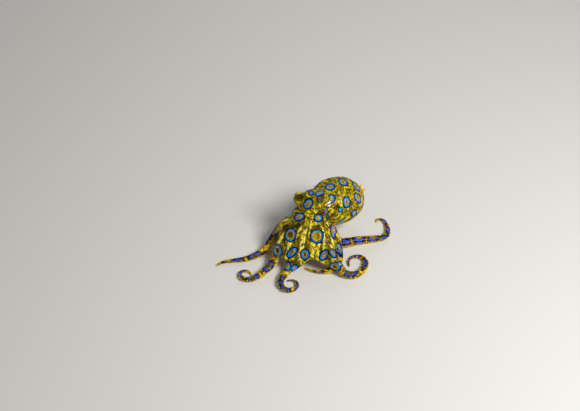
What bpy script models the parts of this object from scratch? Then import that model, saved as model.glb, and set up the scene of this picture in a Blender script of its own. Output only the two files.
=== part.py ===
"""Blue-ringed octopus, a life-size still model that stands on its curled arms.

Run with: blender --background --python part.py

The sizes below are millimetres, and the meshes are made in metres with +Z up and the floor at zero.
The animal looks roughly towards -Y, and its left side is towards +X.
"""

import math
from dataclasses import dataclass

import bmesh
import bpy
import numpy as np

MM = 0.001

# Driving sizes of the animal
MANTLE_LENGTH = 35.0
MANTLE_RADIUS = 0.37 * MANTLE_LENGTH
ARM_ROOT_RADIUS = 0.086 * MANTLE_LENGTH
ARM_TIP_RADIUS = 0.42
EYEBALL_RADIUS = 2.2
WEB_THICKNESS = 1.2

# Space that two touching pieces keep between them
GAP = 0.3

# Mantle, bent back and down behind the head
MANTLE_SPINE = ((6.5, 19.0, 25.2), (12.0, 23.0, 20.4), (21.2, 29.5, 17.6), (30.2, 34.6, 19.9))
MANTLE_FRONT = -0.08
MANTLE_WIDEST = 0.46
MANTLE_BLUNTNESS = 2.3
MANTLE_SIDES = 24
MANTLE_ROWS = 18
SPINE_STEP = 0.01

# Spikes of skin at the mantle's tip
TIP_SPIKES = 3
TIP_SPIKE_LENGTH = 4.6
TIP_SPIKE_SHRINK = 0.15
TIP_SPIKE_RADIUS = 0.9
TIP_SPIKE_MIDDLE_RADIUS = 0.6
TIP_SPIKE_SIDES = 6
TIP_SPIKE_FIRST_TURN = 0.25
TIP_SPIKE_SPREAD = 1.1
TIP_SPIKE_SINK = 1.6
TIP_SPIKE_LEAN = 0.45

# Head, as centres and half-axes of the swellings that it grows together from
HEAD_CENTRE = (4.4, 16.9, 27.8)
HEAD_HALF = (8.2, 6.8, 8.0)
COLLAR_CENTRE = (2.4, 14.4, 20.6)
COLLAR_HALF = (10.6, 8.2, 6.2)
THROAT_CENTRE = (4.1, 15.4, 24.6)
THROAT_HALF = (8.1, 6.9, 5.6)
NAPE_CENTRE = (9.0, 20.0, 25.5)
NAPE_HALF = (7.4, 6.6, 7.2)
EYE_BULGE_RADIUS = {"left": 3.6, "right": 3.8}
EYE_BULGE_CENTRE = {"left": (9.75, 15.75, 28.2), "right": (-3.0, 18.4, 28.4)}
EYE_LOOK = {"left": (0.62, -0.62, 0.48), "right": (-0.90, 0.36, 0.24)}
EYEBALL_OFFSET = 1.9
LID_OFFSET = 3.0
LID_RADIUS = 2.0
LID_THICKNESS = 0.55
LID_SECTION_SIDES = 12
LID_SIDES = 24
EYEBALL_ROWS = 8
EYEBALL_SIDES = 14
HEAD_VOXEL = 0.42
HEAD_SMOOTHING = 12
HEAD_TRIANGLES = 950

# Siphon, the funnel under the left eye
SIPHON_BASE = (11.2, 14.2, 24.5)
SIPHON_MOUTH = (14.8, 9.8, 23.6)
SIPHON_BASE_RADIUS = 2.25
SIPHON_NECK_RADIUS = 2.1
SIPHON_LIP_RADIUS = 2.6
SIPHON_LIP_ROUNDING = 0.3
SIPHON_BORE_RADIUS = 1.35
SIPHON_BORE_BOTTOM_RADIUS = 0.95
SIPHON_BORE_DEPTH = 3.8
SIPHON_SIDES = 16

# Parts of the siphon's length where its outline changes
SIPHON_TAPERED_AT = 0.35
SIPHON_NECK_AT = 0.7
SIPHON_LIP_AT = 0.93

# Crown of arms round the mouth
MOUTH = np.array((3.5, 12.5, 16.5))
CROWN_AXIS = (-0.10, -0.45, -0.89)
CROWN_LEFT = (1.0, -0.15, 0.0)
CROWN_RADIUS = 5.5
PATH_STEP = 0.25
DESCENT_POINTS = 200
BEND_SMOOTHING = 17
BACK_UPRIGHT_OVER = 6.0

# Section of an arm, as parts of its radius
SIDE_AT_ROOT = 0.62
SIDE_GROWS_OVER = 7.0
UNDERSIDE = 0.8
TAPER = 1.5
ARM_SIDES = 8
SECTION_SPACING = 2.2
ARM_CUTS = (("base", 0.0, 0.25), ("middle", 0.25, 0.52), ("outer", 0.52, 0.77), ("tip", 0.77, 1.0))
TOUCH_RADIUS = 2.3

# Suckers, in two rows under each arm
SUCKER_SIDES = 5
SUCKER_ROOT_RADIUS = 1.15
SUCKER_TIP_RADIUS = 0.36
SUCKER_HEIGHT = 0.55
SUCKER_SPACING = 2.7
SUCKER_LEAST_SPACING = 3.25
SUCKER_FIRST = 3.0
SUCKER_ROW_ANGLE = 25.0
SUCKER_SPLAY = 8.0
SUCKER_WAIST = 0.62
SUCKER_SINK = 0.45
SUCKER_END_CLEARANCE = 1.1
SUCKER_LEAST_HEIGHT = 0.35
SUCKER_FULL_HEIGHT_RADIUS = 2.0


@dataclass(frozen=True)
class Arm:
    """One arm: where it leaves the mouth, where it reaches the floor and how it bends there.

    ring is the angle round the mouth from the front, towards the animal's left. touch is the point
    of the floor that the arm first lies on, heading its direction there from +X. bends lists the
    length and the turn of each stretch on the floor.
    """

    ring: float
    touch: tuple
    heading: float
    bends: tuple
    leave: float
    land: float
    lift: float = 0.8


ARMS = {
    "right_1": Arm(
        -26, (-11.3, -11.2), -122, ((4, 7), (4, 35), (6, 80), (6, 78), (5, 84), (3.5, 53)), 10, 8
    ),
    "right_2": Arm(
        -70,
        (-20.0, -6.6),
        -130,
        ((9, -10), (5, -36), (5, -62), (4, -78), (4, -80), (3, -50)),
        12,
        8,
    ),
    "right_3": Arm(
        -113, (-23.0, 5.4), -138, ((8, -18), (8, -22), (7, 10), (5, 38)), 15, 8, 2.0
    ),
    "right_4": Arm(-157, (-0.5, 30.5), 100, ((8, -15), (7, -50), (6, -60), (6, -90)), 6, 6),
    "left_1": Arm(
        26,
        (20.1, -11.3),
        -30,
        ((4, 34), (6, 48), (6, 23), (6, 67), (5, 61), (4, 52), (4, 42)),
        10,
        9,
        8.0,
    ),
    "left_2": Arm(
        70, (17.2, -2.8), -108, ((5, -28), (5, -42), (8, -22), (4, -28)), 9, 4
    ),
    "left_3": Arm(
        112,
        (21.0, 10.6),
        20,
        ((8, -8), (8, -4), (6, 12), (4, 60), (5, 18), (5, 8), (4, 80), (3, 90)),
        7,
        8,
    ),
    "left_4": Arm(157, (9.5, 30.5), 62, ((8, -10), (8, 20), (6, 70), (6, 100)), 6, 6),
}


@dataclass(frozen=True)
class Web:
    """The sheet between two arms: how far it follows each one, and how its edge is arched.

    hug makes the edge stay longer by the arms before it rises.
    """

    first: str
    second: str
    first_end: float
    second_end: float
    arch: float
    bulge: float = 0.6
    hug: float = 1.0


WEBS = {
    "web_front": Web("right_1", "left_1", 31.5, 30.5, 9.5, hug=1.8),
    "web_right_1_2": Web("right_2", "right_1", 27, 25, 3.0, 1.6),
    "web_right_2_3": Web("right_3", "right_2", 20, 22, 2.5, 2.6),
    "web_right_3_4": Web("right_4", "right_3", 12, 14, 3.5, 1.5),
    "web_back": Web("left_4", "right_4", 12, 12, 3.0),
    "web_left_3_4": Web("left_3", "left_4", 12, 12, 3.5),
    "web_left_2_3": Web("left_2", "left_3", 16, 14, 3.0),
    "web_left_1_2": Web("left_1", "left_2", 20, 18, 3.0),
}
WEB_TOP = 2.6
WEB_FULLEST_AT = 2.0 / 3.0
WEB_DORSAL_SHIFT = 0.5
WEB_COLUMNS = 7
WEB_ROWS = 6
WEB_CUTTER_LENGTH = 34.0

SKIN = (0.52, 0.36, 0.07)
SKIN_DARK = (0.33, 0.24, 0.06)
SKIN_ARM = (0.62, 0.40, 0.07)
EYE_SILVER = (0.72, 0.72, 0.66)


def unit(vector):
    """Return a vector scaled to length one."""
    vector = np.asarray(vector, dtype=float)
    return vector / np.linalg.norm(vector)


def unit_rows(rows):
    """Return each row scaled to length one."""
    return rows / np.linalg.norm(rows, axis=1)[:, None]


def smoothstep(value):
    """Return a smooth rise from 0 to 1 as value goes from 0 to 1."""
    value = np.clip(value, 0.0, 1.0)
    return value * value * (3.0 - 2.0 * value)


def bezier(corners, at):
    """Return the points of a cubic curve at the given parameters."""
    a, b, c, d = (np.asarray(corner, dtype=float) for corner in corners)
    at = np.asarray(at, dtype=float)[:, None]
    rest = 1.0 - at
    return rest**3 * a + 3 * rest**2 * at * b + 3 * rest * at**2 * c + at**3 * d


def crown_directions():
    """Return the crown's axis away from the head, its left and its front."""
    axis = unit(CROWN_AXIS)
    left = np.asarray(CROWN_LEFT)
    left = unit(left - left @ axis * axis)
    front = np.cross(left, axis)
    return axis, left, front if front[1] < 0 else -front


def arm_radius(along, length):
    """Return an arm's radius at distances along it."""
    part = np.clip(along / length, 0.0, 1.0)
    return ARM_TIP_RADIUS + (ARM_ROOT_RADIUS - ARM_TIP_RADIUS) * (1.0 - part**TAPER)


def side_radius(along, radius):
    """Return the half-width across an arm, which is squeezed between its neighbours at the root."""
    grown = smoothstep(along / SIDE_GROWS_OVER)
    return radius * (SIDE_AT_ROOT + (1.0 - SIDE_AT_ROOT) * grown)


def sucker_size(radius):
    """Return a sucker's radius under an arm of the given radius."""
    part = (radius - ARM_TIP_RADIUS) / (ARM_ROOT_RADIUS - ARM_TIP_RADIUS)
    return SUCKER_TIP_RADIUS + (SUCKER_ROOT_RADIUS - SUCKER_TIP_RADIUS) * np.clip(part, 0.0, 1.0)


def sucker_height(radius):
    """Return how far a sucker stands out under an arm of the given radius."""
    part = np.clip(radius / SUCKER_FULL_HEIGHT_RADIUS, SUCKER_LEAST_HEIGHT, 1.0)
    return SUCKER_HEIGHT * part


def floor_run(arm):
    """Return the plan of an arm's stretch on the floor, whose bends run smoothly into each other."""
    turns = [
        np.full(max(1, round(length / PATH_STEP)), math.radians(turn) / length)
        for length, turn in arm.bends
    ]
    half = BEND_SMOOTHING // 2
    padded = np.pad(np.concatenate(turns), half, mode="edge")
    turning = np.convolve(padded, np.ones(BEND_SMOOTHING) / BEND_SMOOTHING, mode="valid")
    heading = math.radians(arm.heading) + np.concatenate(([0.0], np.cumsum(turning) * PATH_STEP))
    steps = np.stack((np.cos(heading[:-1]), np.sin(heading[:-1])), axis=1) * PATH_STEP
    return np.asarray(arm.touch) + np.concatenate(([[0.0, 0.0]], np.cumsum(steps, axis=0)))


class ArmPath:
    """The centre line of an arm with its radius and its directions at every step."""

    def __init__(self, arm):
        axis, left, front = crown_directions()
        ring = math.radians(arm.ring)
        outward = math.cos(ring) * front + math.sin(ring) * left
        root = MOUTH + CROWN_RADIUS * outward
        heading = math.radians(arm.heading)
        ahead = np.array((math.cos(heading), math.sin(heading), 0.0))
        height = UNDERSIDE * TOUCH_RADIUS + SUCKER_HEIGHT
        touch = np.array((*arm.touch, height))
        before = touch - ahead * arm.land + np.array((0.0, 0.0, arm.lift))
        corners = (root, root + outward * arm.leave, before, touch)
        down = bezier(corners, np.linspace(0.0, 1.0, DESCENT_POINTS))
        plan = floor_run(arm)
        flat = np.column_stack((plan, np.full(len(plan), height)))
        points = np.concatenate((down, flat[1:]))
        walked = np.concatenate(([0.0], np.cumsum(np.linalg.norm(np.diff(points, axis=0), axis=1))))
        self.length = walked[-1]
        self.touch = walked[len(down) - 1]
        self.along = np.linspace(0.0, self.length, int(self.length / PATH_STEP))
        self.centre = np.stack(
            [np.interp(self.along, walked, points[:, i]) for i in range(3)], axis=1
        )
        self.radius = arm_radius(self.along, self.length)
        lying = UNDERSIDE * self.radius + sucker_height(self.radius)
        sink = np.interp(self.touch, self.along, lying) - height
        eased = self.centre[:, 2] + sink * np.clip(self.along / self.touch, 0.0, 1.0)
        self.centre[:, 2] = np.where(self.along >= self.touch, lying, eased)
        self.ahead = unit_rows(np.gradient(self.centre, axis=0))
        up = np.array((0.0, 0.0, 1.0))
        lean = smoothstep((self.touch - self.along) / BACK_UPRIGHT_OVER)
        level = unit((outward[0], outward[1], 0.0))
        wanted = up + lean[:, None] * level
        across = np.sum(wanted * self.ahead, axis=1)[:, None] * self.ahead
        self.back = unit_rows(wanted - across)
        self.side = np.cross(self.ahead, self.back)

    def at(self, along, field):
        """Return one of the arm's fields at a distance along it."""
        values = getattr(self, field)
        if values.ndim == 1:
            return float(np.interp(along, self.along, values))
        return np.array([np.interp(along, self.along, values[:, i]) for i in range(values.shape[1])])


def loft_arm(path, start, end, swell=0.0, closed_tip=False):
    """Return the mesh of a length of arm, made of rings of corners joined by faces.

    Args:
        path: the arm's path.
        start: where the length starts, in mm along the arm.
        end: where it ends.
        swell: how much fatter than the arm it is.
        closed_tip: whether the last ring runs out in a point.
    """
    mesh = bmesh.new()
    count = max(2, math.ceil((end - start) / SECTION_SPACING) + 1)
    rings = []
    for along in np.linspace(start, end, count):
        radius = path.at(along, "radius")
        wide = side_radius(along, radius) + swell
        centre = path.at(along, "centre")
        back = unit(path.at(along, "back"))
        side = unit(path.at(along, "side"))
        ring = []
        for k in range(ARM_SIDES):
            angle = 2.0 * math.pi * (k + 0.5) / ARM_SIDES
            tall = radius * (1.0 if math.cos(angle) > 0 else UNDERSIDE) + swell
            corner = centre + side * wide * math.sin(angle) + back * tall * math.cos(angle)
            ring.append(mesh.verts.new(corner * MM))
        rings.append(ring)
    for near, far in zip(rings[:-1], rings[1:]):
        for k in range(ARM_SIDES):
            following = (k + 1) % ARM_SIDES
            mesh.faces.new((near[k], near[following], far[following], far[k]))
    mesh.faces.new(list(reversed(rings[0])))
    if closed_tip:
        point = path.at(end, "centre") + unit(path.at(end, "ahead")) * ARM_TIP_RADIUS
        apex = mesh.verts.new(point * MM)
        for k in range(ARM_SIDES):
            mesh.faces.new((rings[-1][k], rings[-1][(k + 1) % ARM_SIDES], apex))
    else:
        mesh.faces.new(rings[-1])
    bmesh.ops.recalc_face_normals(mesh, faces=mesh.faces)
    return mesh


def new_object(name, mesh, collection):
    """Return a new object that holds a bmesh, which is freed."""
    data = bpy.data.meshes.new(name)
    mesh.to_mesh(data)
    mesh.free()
    made = bpy.data.objects.new(name, data)
    collection.objects.link(made)
    return made


def apply_modifiers(piece):
    """Replace an object's mesh by the one that its modifiers give."""
    depsgraph = bpy.context.evaluated_depsgraph_get()
    result = bpy.data.meshes.new_from_object(piece.evaluated_get(depsgraph))
    piece.modifiers.clear()
    before = piece.data
    piece.data = result
    result.name = piece.name
    bpy.data.meshes.remove(before)


def keep_largest(piece):
    """Keep an object's largest closed surface and remove every other one."""
    mesh = bmesh.new()
    mesh.from_mesh(piece.data)
    left = set(mesh.verts)
    shells = []
    while left:
        shell = set()
        reached = [left.pop()]
        while reached:
            corner = reached.pop()
            shell.add(corner)
            for edge in corner.link_edges:
                other = edge.other_vert(corner)
                if other in left:
                    left.remove(other)
                    reached.append(other)
        shells.append(shell)
    largest = max(shells, key=lambda shell: shell_size(shell))
    spare = [corner for shell in shells if shell is not largest for corner in shell]
    bmesh.ops.delete(mesh, geom=spare, context="VERTS")
    mesh.to_mesh(piece.data)
    mesh.free()


def shell_size(shell):
    """Return the diagonal of the box round a set of corners."""
    places = np.array([corner.co for corner in shell])
    return float(np.linalg.norm(places.max(axis=0) - places.min(axis=0)))


def is_closed(data):
    """Return whether a mesh has faces and every edge joins exactly two of them."""
    mesh = bmesh.new()
    mesh.from_mesh(data)
    closed = len(mesh.faces) > 3 and all(len(edge.link_faces) == 2 for edge in mesh.edges)
    mesh.free()
    return closed


def combine(piece, other, operation):
    """Join or cut an object with another object, or with a whole collection."""
    before = piece.data.copy()
    for solver in ("EXACT", "MANIFOLD"):
        change = piece.modifiers.new("combine", "BOOLEAN")
        change.operation = operation
        change.solver = solver
        if isinstance(other, bpy.types.Collection):
            change.operand_type = "COLLECTION"
            change.collection = other
        else:
            change.object = other
        apply_modifiers(piece)
        if is_closed(piece.data):
            keep_largest(piece)
            bpy.data.meshes.remove(before)
            return
        print(f"{solver} left {piece.name} open or empty")
        piece.data = before.copy()
    raise ValueError(f"{piece.name} can't be combined with {other.name}")


def empty_collection(collection):
    """Remove the objects that a collection holds."""
    for piece in list(collection.objects):
        bpy.data.objects.remove(piece)


def shade_smooth(piece):
    """Shade an object's faces as one round surface."""
    for face in piece.data.polygons:
        face.use_smooth = True


def give_material(piece, colour, roughness=0.45):
    """Give an object its own material."""
    material = bpy.data.materials.new(piece.name + "_finish")
    material.use_nodes = True
    shader = material.node_tree.nodes["Principled BSDF"]
    shader.inputs["Base Color"].default_value = (*colour, 1.0)
    shader.inputs["Roughness"].default_value = roughness
    shader.inputs["Metallic"].default_value = 0.0
    piece.data.materials.clear()
    piece.data.materials.append(material)


def ellipsoid(name, centre, half, collection, detail=4):
    """Return an ellipsoid as a new object."""
    mesh = bmesh.new()
    bmesh.ops.create_icosphere(mesh, subdivisions=detail, radius=1.0)
    for corner in mesh.verts:
        corner.co = [(centre[i] + corner.co[i] * half[i]) * MM for i in range(3)]
    return new_object(name, mesh, collection)


def frame_of(direction):
    """Return two directions square to a direction and to each other."""
    direction = unit(direction)
    helper = np.array((0.0, 0.0, 1.0)) if abs(direction[2]) < 0.95 else np.array((1.0, 0.0, 0.0))
    side = unit(np.cross(helper, direction))
    return side, np.cross(direction, side)


def turned(name, profile, centre, direction, sides, collection):
    """Return a turned object.

    Args:
        profile: (distance along the axis, radius) pairs in mm, starting and ending at radius zero.
        centre: where the profile's distances start, in mm.
        direction: the axis.
        sides: how many sides the object has.
    """
    direction = unit(direction)
    side, up = frame_of(direction)
    mesh = bmesh.new()
    rings = []
    for distance, radius in profile:
        middle = np.asarray(centre) + direction * distance
        if radius == 0.0:
            rings.append([mesh.verts.new(middle * MM)])
            continue
        ring = []
        for k in range(sides):
            angle = 2.0 * math.pi * k / sides
            corner = middle + radius * (math.cos(angle) * side + math.sin(angle) * up)
            ring.append(mesh.verts.new(corner * MM))
        rings.append(ring)
    for near, far in zip(rings[:-1], rings[1:]):
        for k in range(sides):
            following = (k + 1) % sides
            if len(near) == 1:
                mesh.faces.new((near[0], far[following], far[k]))
            elif len(far) == 1:
                mesh.faces.new((near[k], near[following], far[0]))
            else:
                mesh.faces.new((near[k], near[following], far[following], far[k]))
    bmesh.ops.recalc_face_normals(mesh, faces=mesh.faces)
    return new_object(name, mesh, collection)


def mantle_radius(part):
    """Return the mantle's radius at a part of its spine, which closes at both ends."""
    reach = 1.0 - MANTLE_WIDEST
    inside = 1.0 - np.abs((part - MANTLE_WIDEST) / reach) ** MANTLE_BLUNTNESS
    return MANTLE_RADIUS * math.sqrt(max(inside, 0.0))


def mantle_body(name, collection, swell=0.0):
    """Return the mantle without its spikes: a sphere drawn out along a bent spine."""
    mesh = bmesh.new()
    bmesh.ops.create_uvsphere(mesh, u_segments=MANTLE_SIDES, v_segments=MANTLE_ROWS, radius=1.0)
    for corner in mesh.verts:
        part = MANTLE_FRONT + (1.0 - MANTLE_FRONT) * (corner.co.z + 1.0) / 2.0
        centre = bezier(MANTLE_SPINE, [part])[0]
        ahead = unit(bezier(MANTLE_SPINE, [part + SPINE_STEP])[0] - centre)
        side, up = frame_of(ahead)
        around = math.hypot(corner.co.x, corner.co.y)
        radius = mantle_radius(part) + swell if around > 1e-6 else 0.0
        turn = (corner.co.x / around, corner.co.y / around) if radius else (0.0, 0.0)
        centre = centre + ahead * swell * corner.co.z
        corner.co = (centre + radius * (turn[0] * side + turn[1] * up)) * MM
    bmesh.ops.recalc_face_normals(mesh, faces=mesh.faces)
    return new_object(name, mesh, collection)


def make_mantle(name, collection, tools):
    """Return the mantle with the spikes of skin at its tip."""
    mantle = mantle_body(name, collection)
    tip = bezier(MANTLE_SPINE, [1.0])[0]
    ahead = unit(tip - bezier(MANTLE_SPINE, [1.0 - SPINE_STEP])[0])
    side, up = frame_of(ahead)
    for k in range(TIP_SPIKES):
        angle = 2.0 * math.pi * (k + TIP_SPIKE_FIRST_TURN) / TIP_SPIKES
        lean = math.cos(angle) * side + math.sin(angle) * up
        root = tip - ahead * TIP_SPIKE_SINK + lean * TIP_SPIKE_SPREAD
        length = TIP_SPIKE_LENGTH * (1.0 - TIP_SPIKE_SHRINK * k)
        profile = (
            (-TIP_SPIKE_RADIUS, 0.0),
            (-TIP_SPIKE_RADIUS, TIP_SPIKE_RADIUS),
            (0.5 * length, TIP_SPIKE_MIDDLE_RADIUS),
            (length, 0.0),
        )
        direction = ahead + TIP_SPIKE_LEAN * lean
        turned(f"spike_{k}", profile, root, direction, TIP_SPIKE_SIDES, tools)
    combine(mantle, tools, "UNION")
    empty_collection(tools)
    return mantle


def eyeball_centre(which):
    """Return the centre of an eyeball."""
    return np.asarray(EYE_BULGE_CENTRE[which]) + unit(EYE_LOOK[which]) * EYEBALL_OFFSET


def make_eyeball(name, which, collection, swell=0.0):
    """Return an eyeball, whose poles lie on its line of sight."""
    reach = EYEBALL_RADIUS + swell
    angles = [math.pi * k / EYEBALL_ROWS for k in range(1, EYEBALL_ROWS)]
    rows = [(-reach * math.cos(angle), reach * math.sin(angle)) for angle in angles]
    profile = [(-reach, 0.0), *rows, (reach, 0.0)]
    centre = eyeball_centre(which)
    return turned(name, profile, centre, EYE_LOOK[which], EYEBALL_SIDES, collection)


def lid_profile():
    """Return the round section of the lid rim, once round."""
    profile = []
    for k in range(LID_SECTION_SIDES + 1):
        angle = 2.0 * math.pi * k / LID_SECTION_SIDES
        distance = LID_OFFSET + LID_THICKNESS * math.cos(angle)
        profile.append((distance, LID_RADIUS + LID_THICKNESS * math.sin(angle)))
    return profile


def make_head(name, collection, tools):
    """Return the head: swellings grown together, with a lid rim round each eye."""
    ellipsoid("brow", HEAD_CENTRE, HEAD_HALF, tools)
    ellipsoid("collar", COLLAR_CENTRE, COLLAR_HALF, tools)
    ellipsoid("throat", THROAT_CENTRE, THROAT_HALF, tools)
    ellipsoid("nape", NAPE_CENTRE, NAPE_HALF, tools)
    for which in ("left", "right"):
        centre = np.asarray(EYE_BULGE_CENTRE[which])
        radius = EYE_BULGE_RADIUS[which]
        ellipsoid("bulge_" + which, centre, (radius, radius, radius), tools)
        turned("lid_" + which, lid_profile(), centre, EYE_LOOK[which], LID_SIDES, tools)
    joined = bmesh.new()
    for piece in tools.objects:
        joined.from_mesh(piece.data)
    empty_collection(tools)
    head = new_object(name, joined, collection)
    grow = head.modifiers.new("grow together", "REMESH")
    grow.mode = "VOXEL"
    grow.voxel_size = HEAD_VOXEL * MM
    soften = head.modifiers.new("soften", "SMOOTH")
    soften.factor = 0.5
    soften.iterations = HEAD_SMOOTHING
    apply_modifiers(head)
    thin = head.modifiers.new("thin", "DECIMATE")
    thin.ratio = HEAD_TRIANGLES / (2.0 * len(head.data.polygons))
    apply_modifiers(head)
    keep_largest(head)
    return head


def siphon_profile(swell=0.0, bored=True):
    """Return the siphon's outline from its base to its lip and back down its bore."""
    length = float(np.linalg.norm(np.subtract(SIPHON_MOUTH, SIPHON_BASE)))
    outside = [
        (-swell, 0.0),
        (-swell, SIPHON_BASE_RADIUS + swell),
        (SIPHON_TAPERED_AT * length, 0.5 * (SIPHON_BASE_RADIUS + SIPHON_NECK_RADIUS) + swell),
        (SIPHON_NECK_AT * length, SIPHON_NECK_RADIUS + swell),
        (SIPHON_LIP_AT * length, SIPHON_LIP_RADIUS + swell),
        (length + swell, SIPHON_LIP_RADIUS - SIPHON_LIP_ROUNDING + swell),
    ]
    if not bored:
        return [*outside, (length + swell, 0.0)]
    bottom = length - SIPHON_BORE_DEPTH
    return [
        *outside,
        (length - SIPHON_LIP_ROUNDING, SIPHON_BORE_RADIUS + SIPHON_LIP_ROUNDING),
        (length - 4.0 * SIPHON_LIP_ROUNDING, SIPHON_BORE_RADIUS),
        (bottom, SIPHON_BORE_BOTTOM_RADIUS),
        (bottom, 0.0),
    ]


def make_siphon(name, collection, swell=0.0, bored=True):
    """Return the siphon, a short flared tube."""
    direction = np.subtract(SIPHON_MOUTH, SIPHON_BASE)
    profile = siphon_profile(swell, bored)
    return turned(name, profile, SIPHON_BASE, direction, SIPHON_SIDES, collection)


def swollen(piece, amount, collection):
    """Return a copy of an object whose surface lies further out."""
    copy = piece.copy()
    copy.data = piece.data.copy()
    copy.name = piece.name + "_cutter"
    collection.objects.link(copy)
    grow = copy.modifiers.new("grow", "DISPLACE")
    grow.strength = amount * MM
    grow.mid_level = 0.0
    apply_modifiers(copy)
    return copy


def sucker_places(path, start, end):
    """Return where the pairs of suckers stand on a length of arm, clear of both its ends."""
    clear = [
        SUCKER_END_CLEARANCE * sucker_size(path.at(along, "radius")) for along in (start, end)
    ]
    first = max(start, SUCKER_FIRST) + clear[0]
    last = end - clear[1]
    places = [first]
    while places[-1] < last:
        size = sucker_size(path.at(places[-1], "radius"))
        places.append(places[-1] + max(SUCKER_SPACING * size, SUCKER_LEAST_SPACING))
    if len(places) > 2 and places[-1] - last > 0.5 * (places[-1] - places[-2]):
        places.pop()
    stretch = (last - first) / (places[-1] - first)
    return [first + (place - first) * stretch for place in places]


def sucker_pose(path, along, row):
    """Return the root, the direction and the height of one sucker.

    A sucker stands out square to the skin and leans a little outwards. Where the arm lies on the
    floor it points straight down and is as tall as its root is high, so that its rim rests there.
    """
    radius = path.at(along, "radius")
    size = sucker_size(radius)
    back = unit(path.at(along, "back"))
    side = unit(path.at(along, "side"))
    angle = math.radians(SUCKER_ROW_ANGLE)
    root = path.at(along, "centre") + row * side * side_radius(along, radius) * math.sin(angle)
    root = root - back * UNDERSIDE * radius * math.cos(angle)
    lean = angle + math.radians(SUCKER_SPLAY)
    outward = row * side * math.sin(lean) - back * math.cos(lean)
    height = sucker_height(radius)
    lowest = root[2] + height * outward[2] - size * math.hypot(outward[0], outward[1])
    if along >= path.touch or lowest < 0.0:
        outward = np.array((0.0, 0.0, -1.0))
        height = root[2]
    return root, outward, height


def add_suckers(piece, path, start, end, tools):
    """Join two rows of suckers to the underside of a length of arm."""
    for i, along in enumerate(sucker_places(path, start, end)):
        size = sucker_size(path.at(along, "radius"))
        for row in (-1, 1):
            root, outward, height = sucker_pose(path, along, row)
            sunk = -SUCKER_SINK * size
            profile = (
                (sunk, 0.0),
                (sunk, SUCKER_WAIST * size),
                (height, size),
                (height, 0.0),
            )
            turned(f"sucker_{i}_{row}", profile, root, outward, SUCKER_SIDES, tools)
    combine(piece, tools, "UNION")
    empty_collection(tools)


def make_arm(name, path, collection, tools):
    """Return the lengths of one arm, each with its suckers."""
    pieces = []
    for part, begin, finish in ARM_CUTS:
        start = begin * path.length + (0.5 * GAP if begin > 0 else 0.0)
        end = finish * path.length - (0.5 * GAP if finish < 1 else 0.0)
        mesh = loft_arm(path, start, end, closed_tip=finish == 1.0)
        piece = new_object(f"arm_{name}_{part}", mesh, collection)
        add_suckers(piece, path, start, end, tools)
        pieces.append(piece)
    return pieces


def make_web(name, web, paths, collection):
    """Return the sheet of skin between two arms, before it is cut back from them."""
    first = paths[web.first]
    second = paths[web.second]
    mesh = bmesh.new()
    bmesh.ops.create_grid(mesh, x_segments=WEB_COLUMNS, y_segments=WEB_ROWS, size=0.5)
    for corner in mesh.verts:
        across = corner.co.x + 0.5
        down = corner.co.y + 0.5
        dip = web.arch * max(math.sin(math.pi * across), 0.0) ** web.hug
        ends = []
        for path, reach in ((first, web.first_end), (second, web.second_end)):
            along = WEB_TOP + down * (reach - dip - WEB_TOP)
            shift = WEB_DORSAL_SHIFT * path.at(along, "radius") * path.at(along, "back")
            ends.append((path.at(along, "centre") + shift, path.at(along, "back")))
        point = ends[0][0] * (1.0 - across) + ends[1][0] * across
        out = unit(ends[0][1] + ends[1][1])
        fullness = math.sin(0.5 * math.pi * down / WEB_FULLEST_AT) * math.sin(math.pi * across)
        corner.co = (point + out * web.bulge * fullness) * MM
    bmesh.ops.recalc_face_normals(mesh, faces=mesh.faces)
    sheet = new_object(name, mesh, collection)
    thicken = sheet.modifiers.new("thicken", "SOLIDIFY")
    thicken.thickness = WEB_THICKNESS * MM
    thicken.offset = 0.0
    apply_modifiers(sheet)
    return sheet


def build():
    """Build the whole animal."""
    for piece in list(bpy.data.objects):
        bpy.data.objects.remove(piece)
    parts = bpy.data.collections.new("blue_ringed_octopus")
    tools = bpy.data.collections.new("joined_pieces")
    cutters = bpy.data.collections.new("cutters")
    for collection in (parts, tools, cutters):
        bpy.context.scene.collection.children.link(collection)

    paths = {name: ArmPath(arm) for name, arm in ARMS.items()}
    arm_pieces = {}
    for name, path in paths.items():
        arm_pieces[name] = make_arm(name, path, parts, tools)

    head = make_head("head", parts, tools)
    mantle = make_mantle("mantle", parts, tools)
    siphon = make_siphon("siphon", parts)
    eyes = [make_eyeball("eye_" + which, which, parts) for which in ("left", "right")]

    head_cutter = swollen(head, GAP, cutters)
    mantle_cutter = mantle_body("mantle_cutter", cutters, GAP)
    siphon_cutter = make_siphon("siphon_cutter", cutters, GAP, bored=False)
    arm_cutters = {}
    for name, path in paths.items():
        mesh = loft_arm(path, 0.0, WEB_CUTTER_LENGTH, swell=GAP)
        arm_cutters[name] = new_object(name + "_cutter", mesh, cutters)

    combine(mantle, head_cutter, "DIFFERENCE")
    combine(mantle, siphon_cutter, "DIFFERENCE")
    combine(head, siphon_cutter, "DIFFERENCE")
    for which in ("left", "right"):
        socket = make_eyeball("socket_" + which, which, cutters, GAP)
        combine(head, socket, "DIFFERENCE")
    for cutter in arm_cutters.values():
        combine(head, cutter, "DIFFERENCE")
        combine(mantle, cutter, "DIFFERENCE")

    sheets = []
    for name, web in WEBS.items():
        sheet = make_web(name, web, paths, parts)
        for cutter in (arm_cutters[web.first], arm_cutters[web.second], head_cutter, mantle_cutter):
            combine(sheet, cutter, "DIFFERENCE")
        sheets.append(sheet)

    empty_collection(cutters)
    for piece in (mantle, head, *sheets):
        give_material(piece, SKIN)
    give_material(siphon, SKIN_DARK)
    for pieces in arm_pieces.values():
        for piece in pieces:
            give_material(piece, SKIN_ARM)
    for eye in eyes:
        give_material(eye, EYE_SILVER, 0.15)
    set_down(parts)


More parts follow.
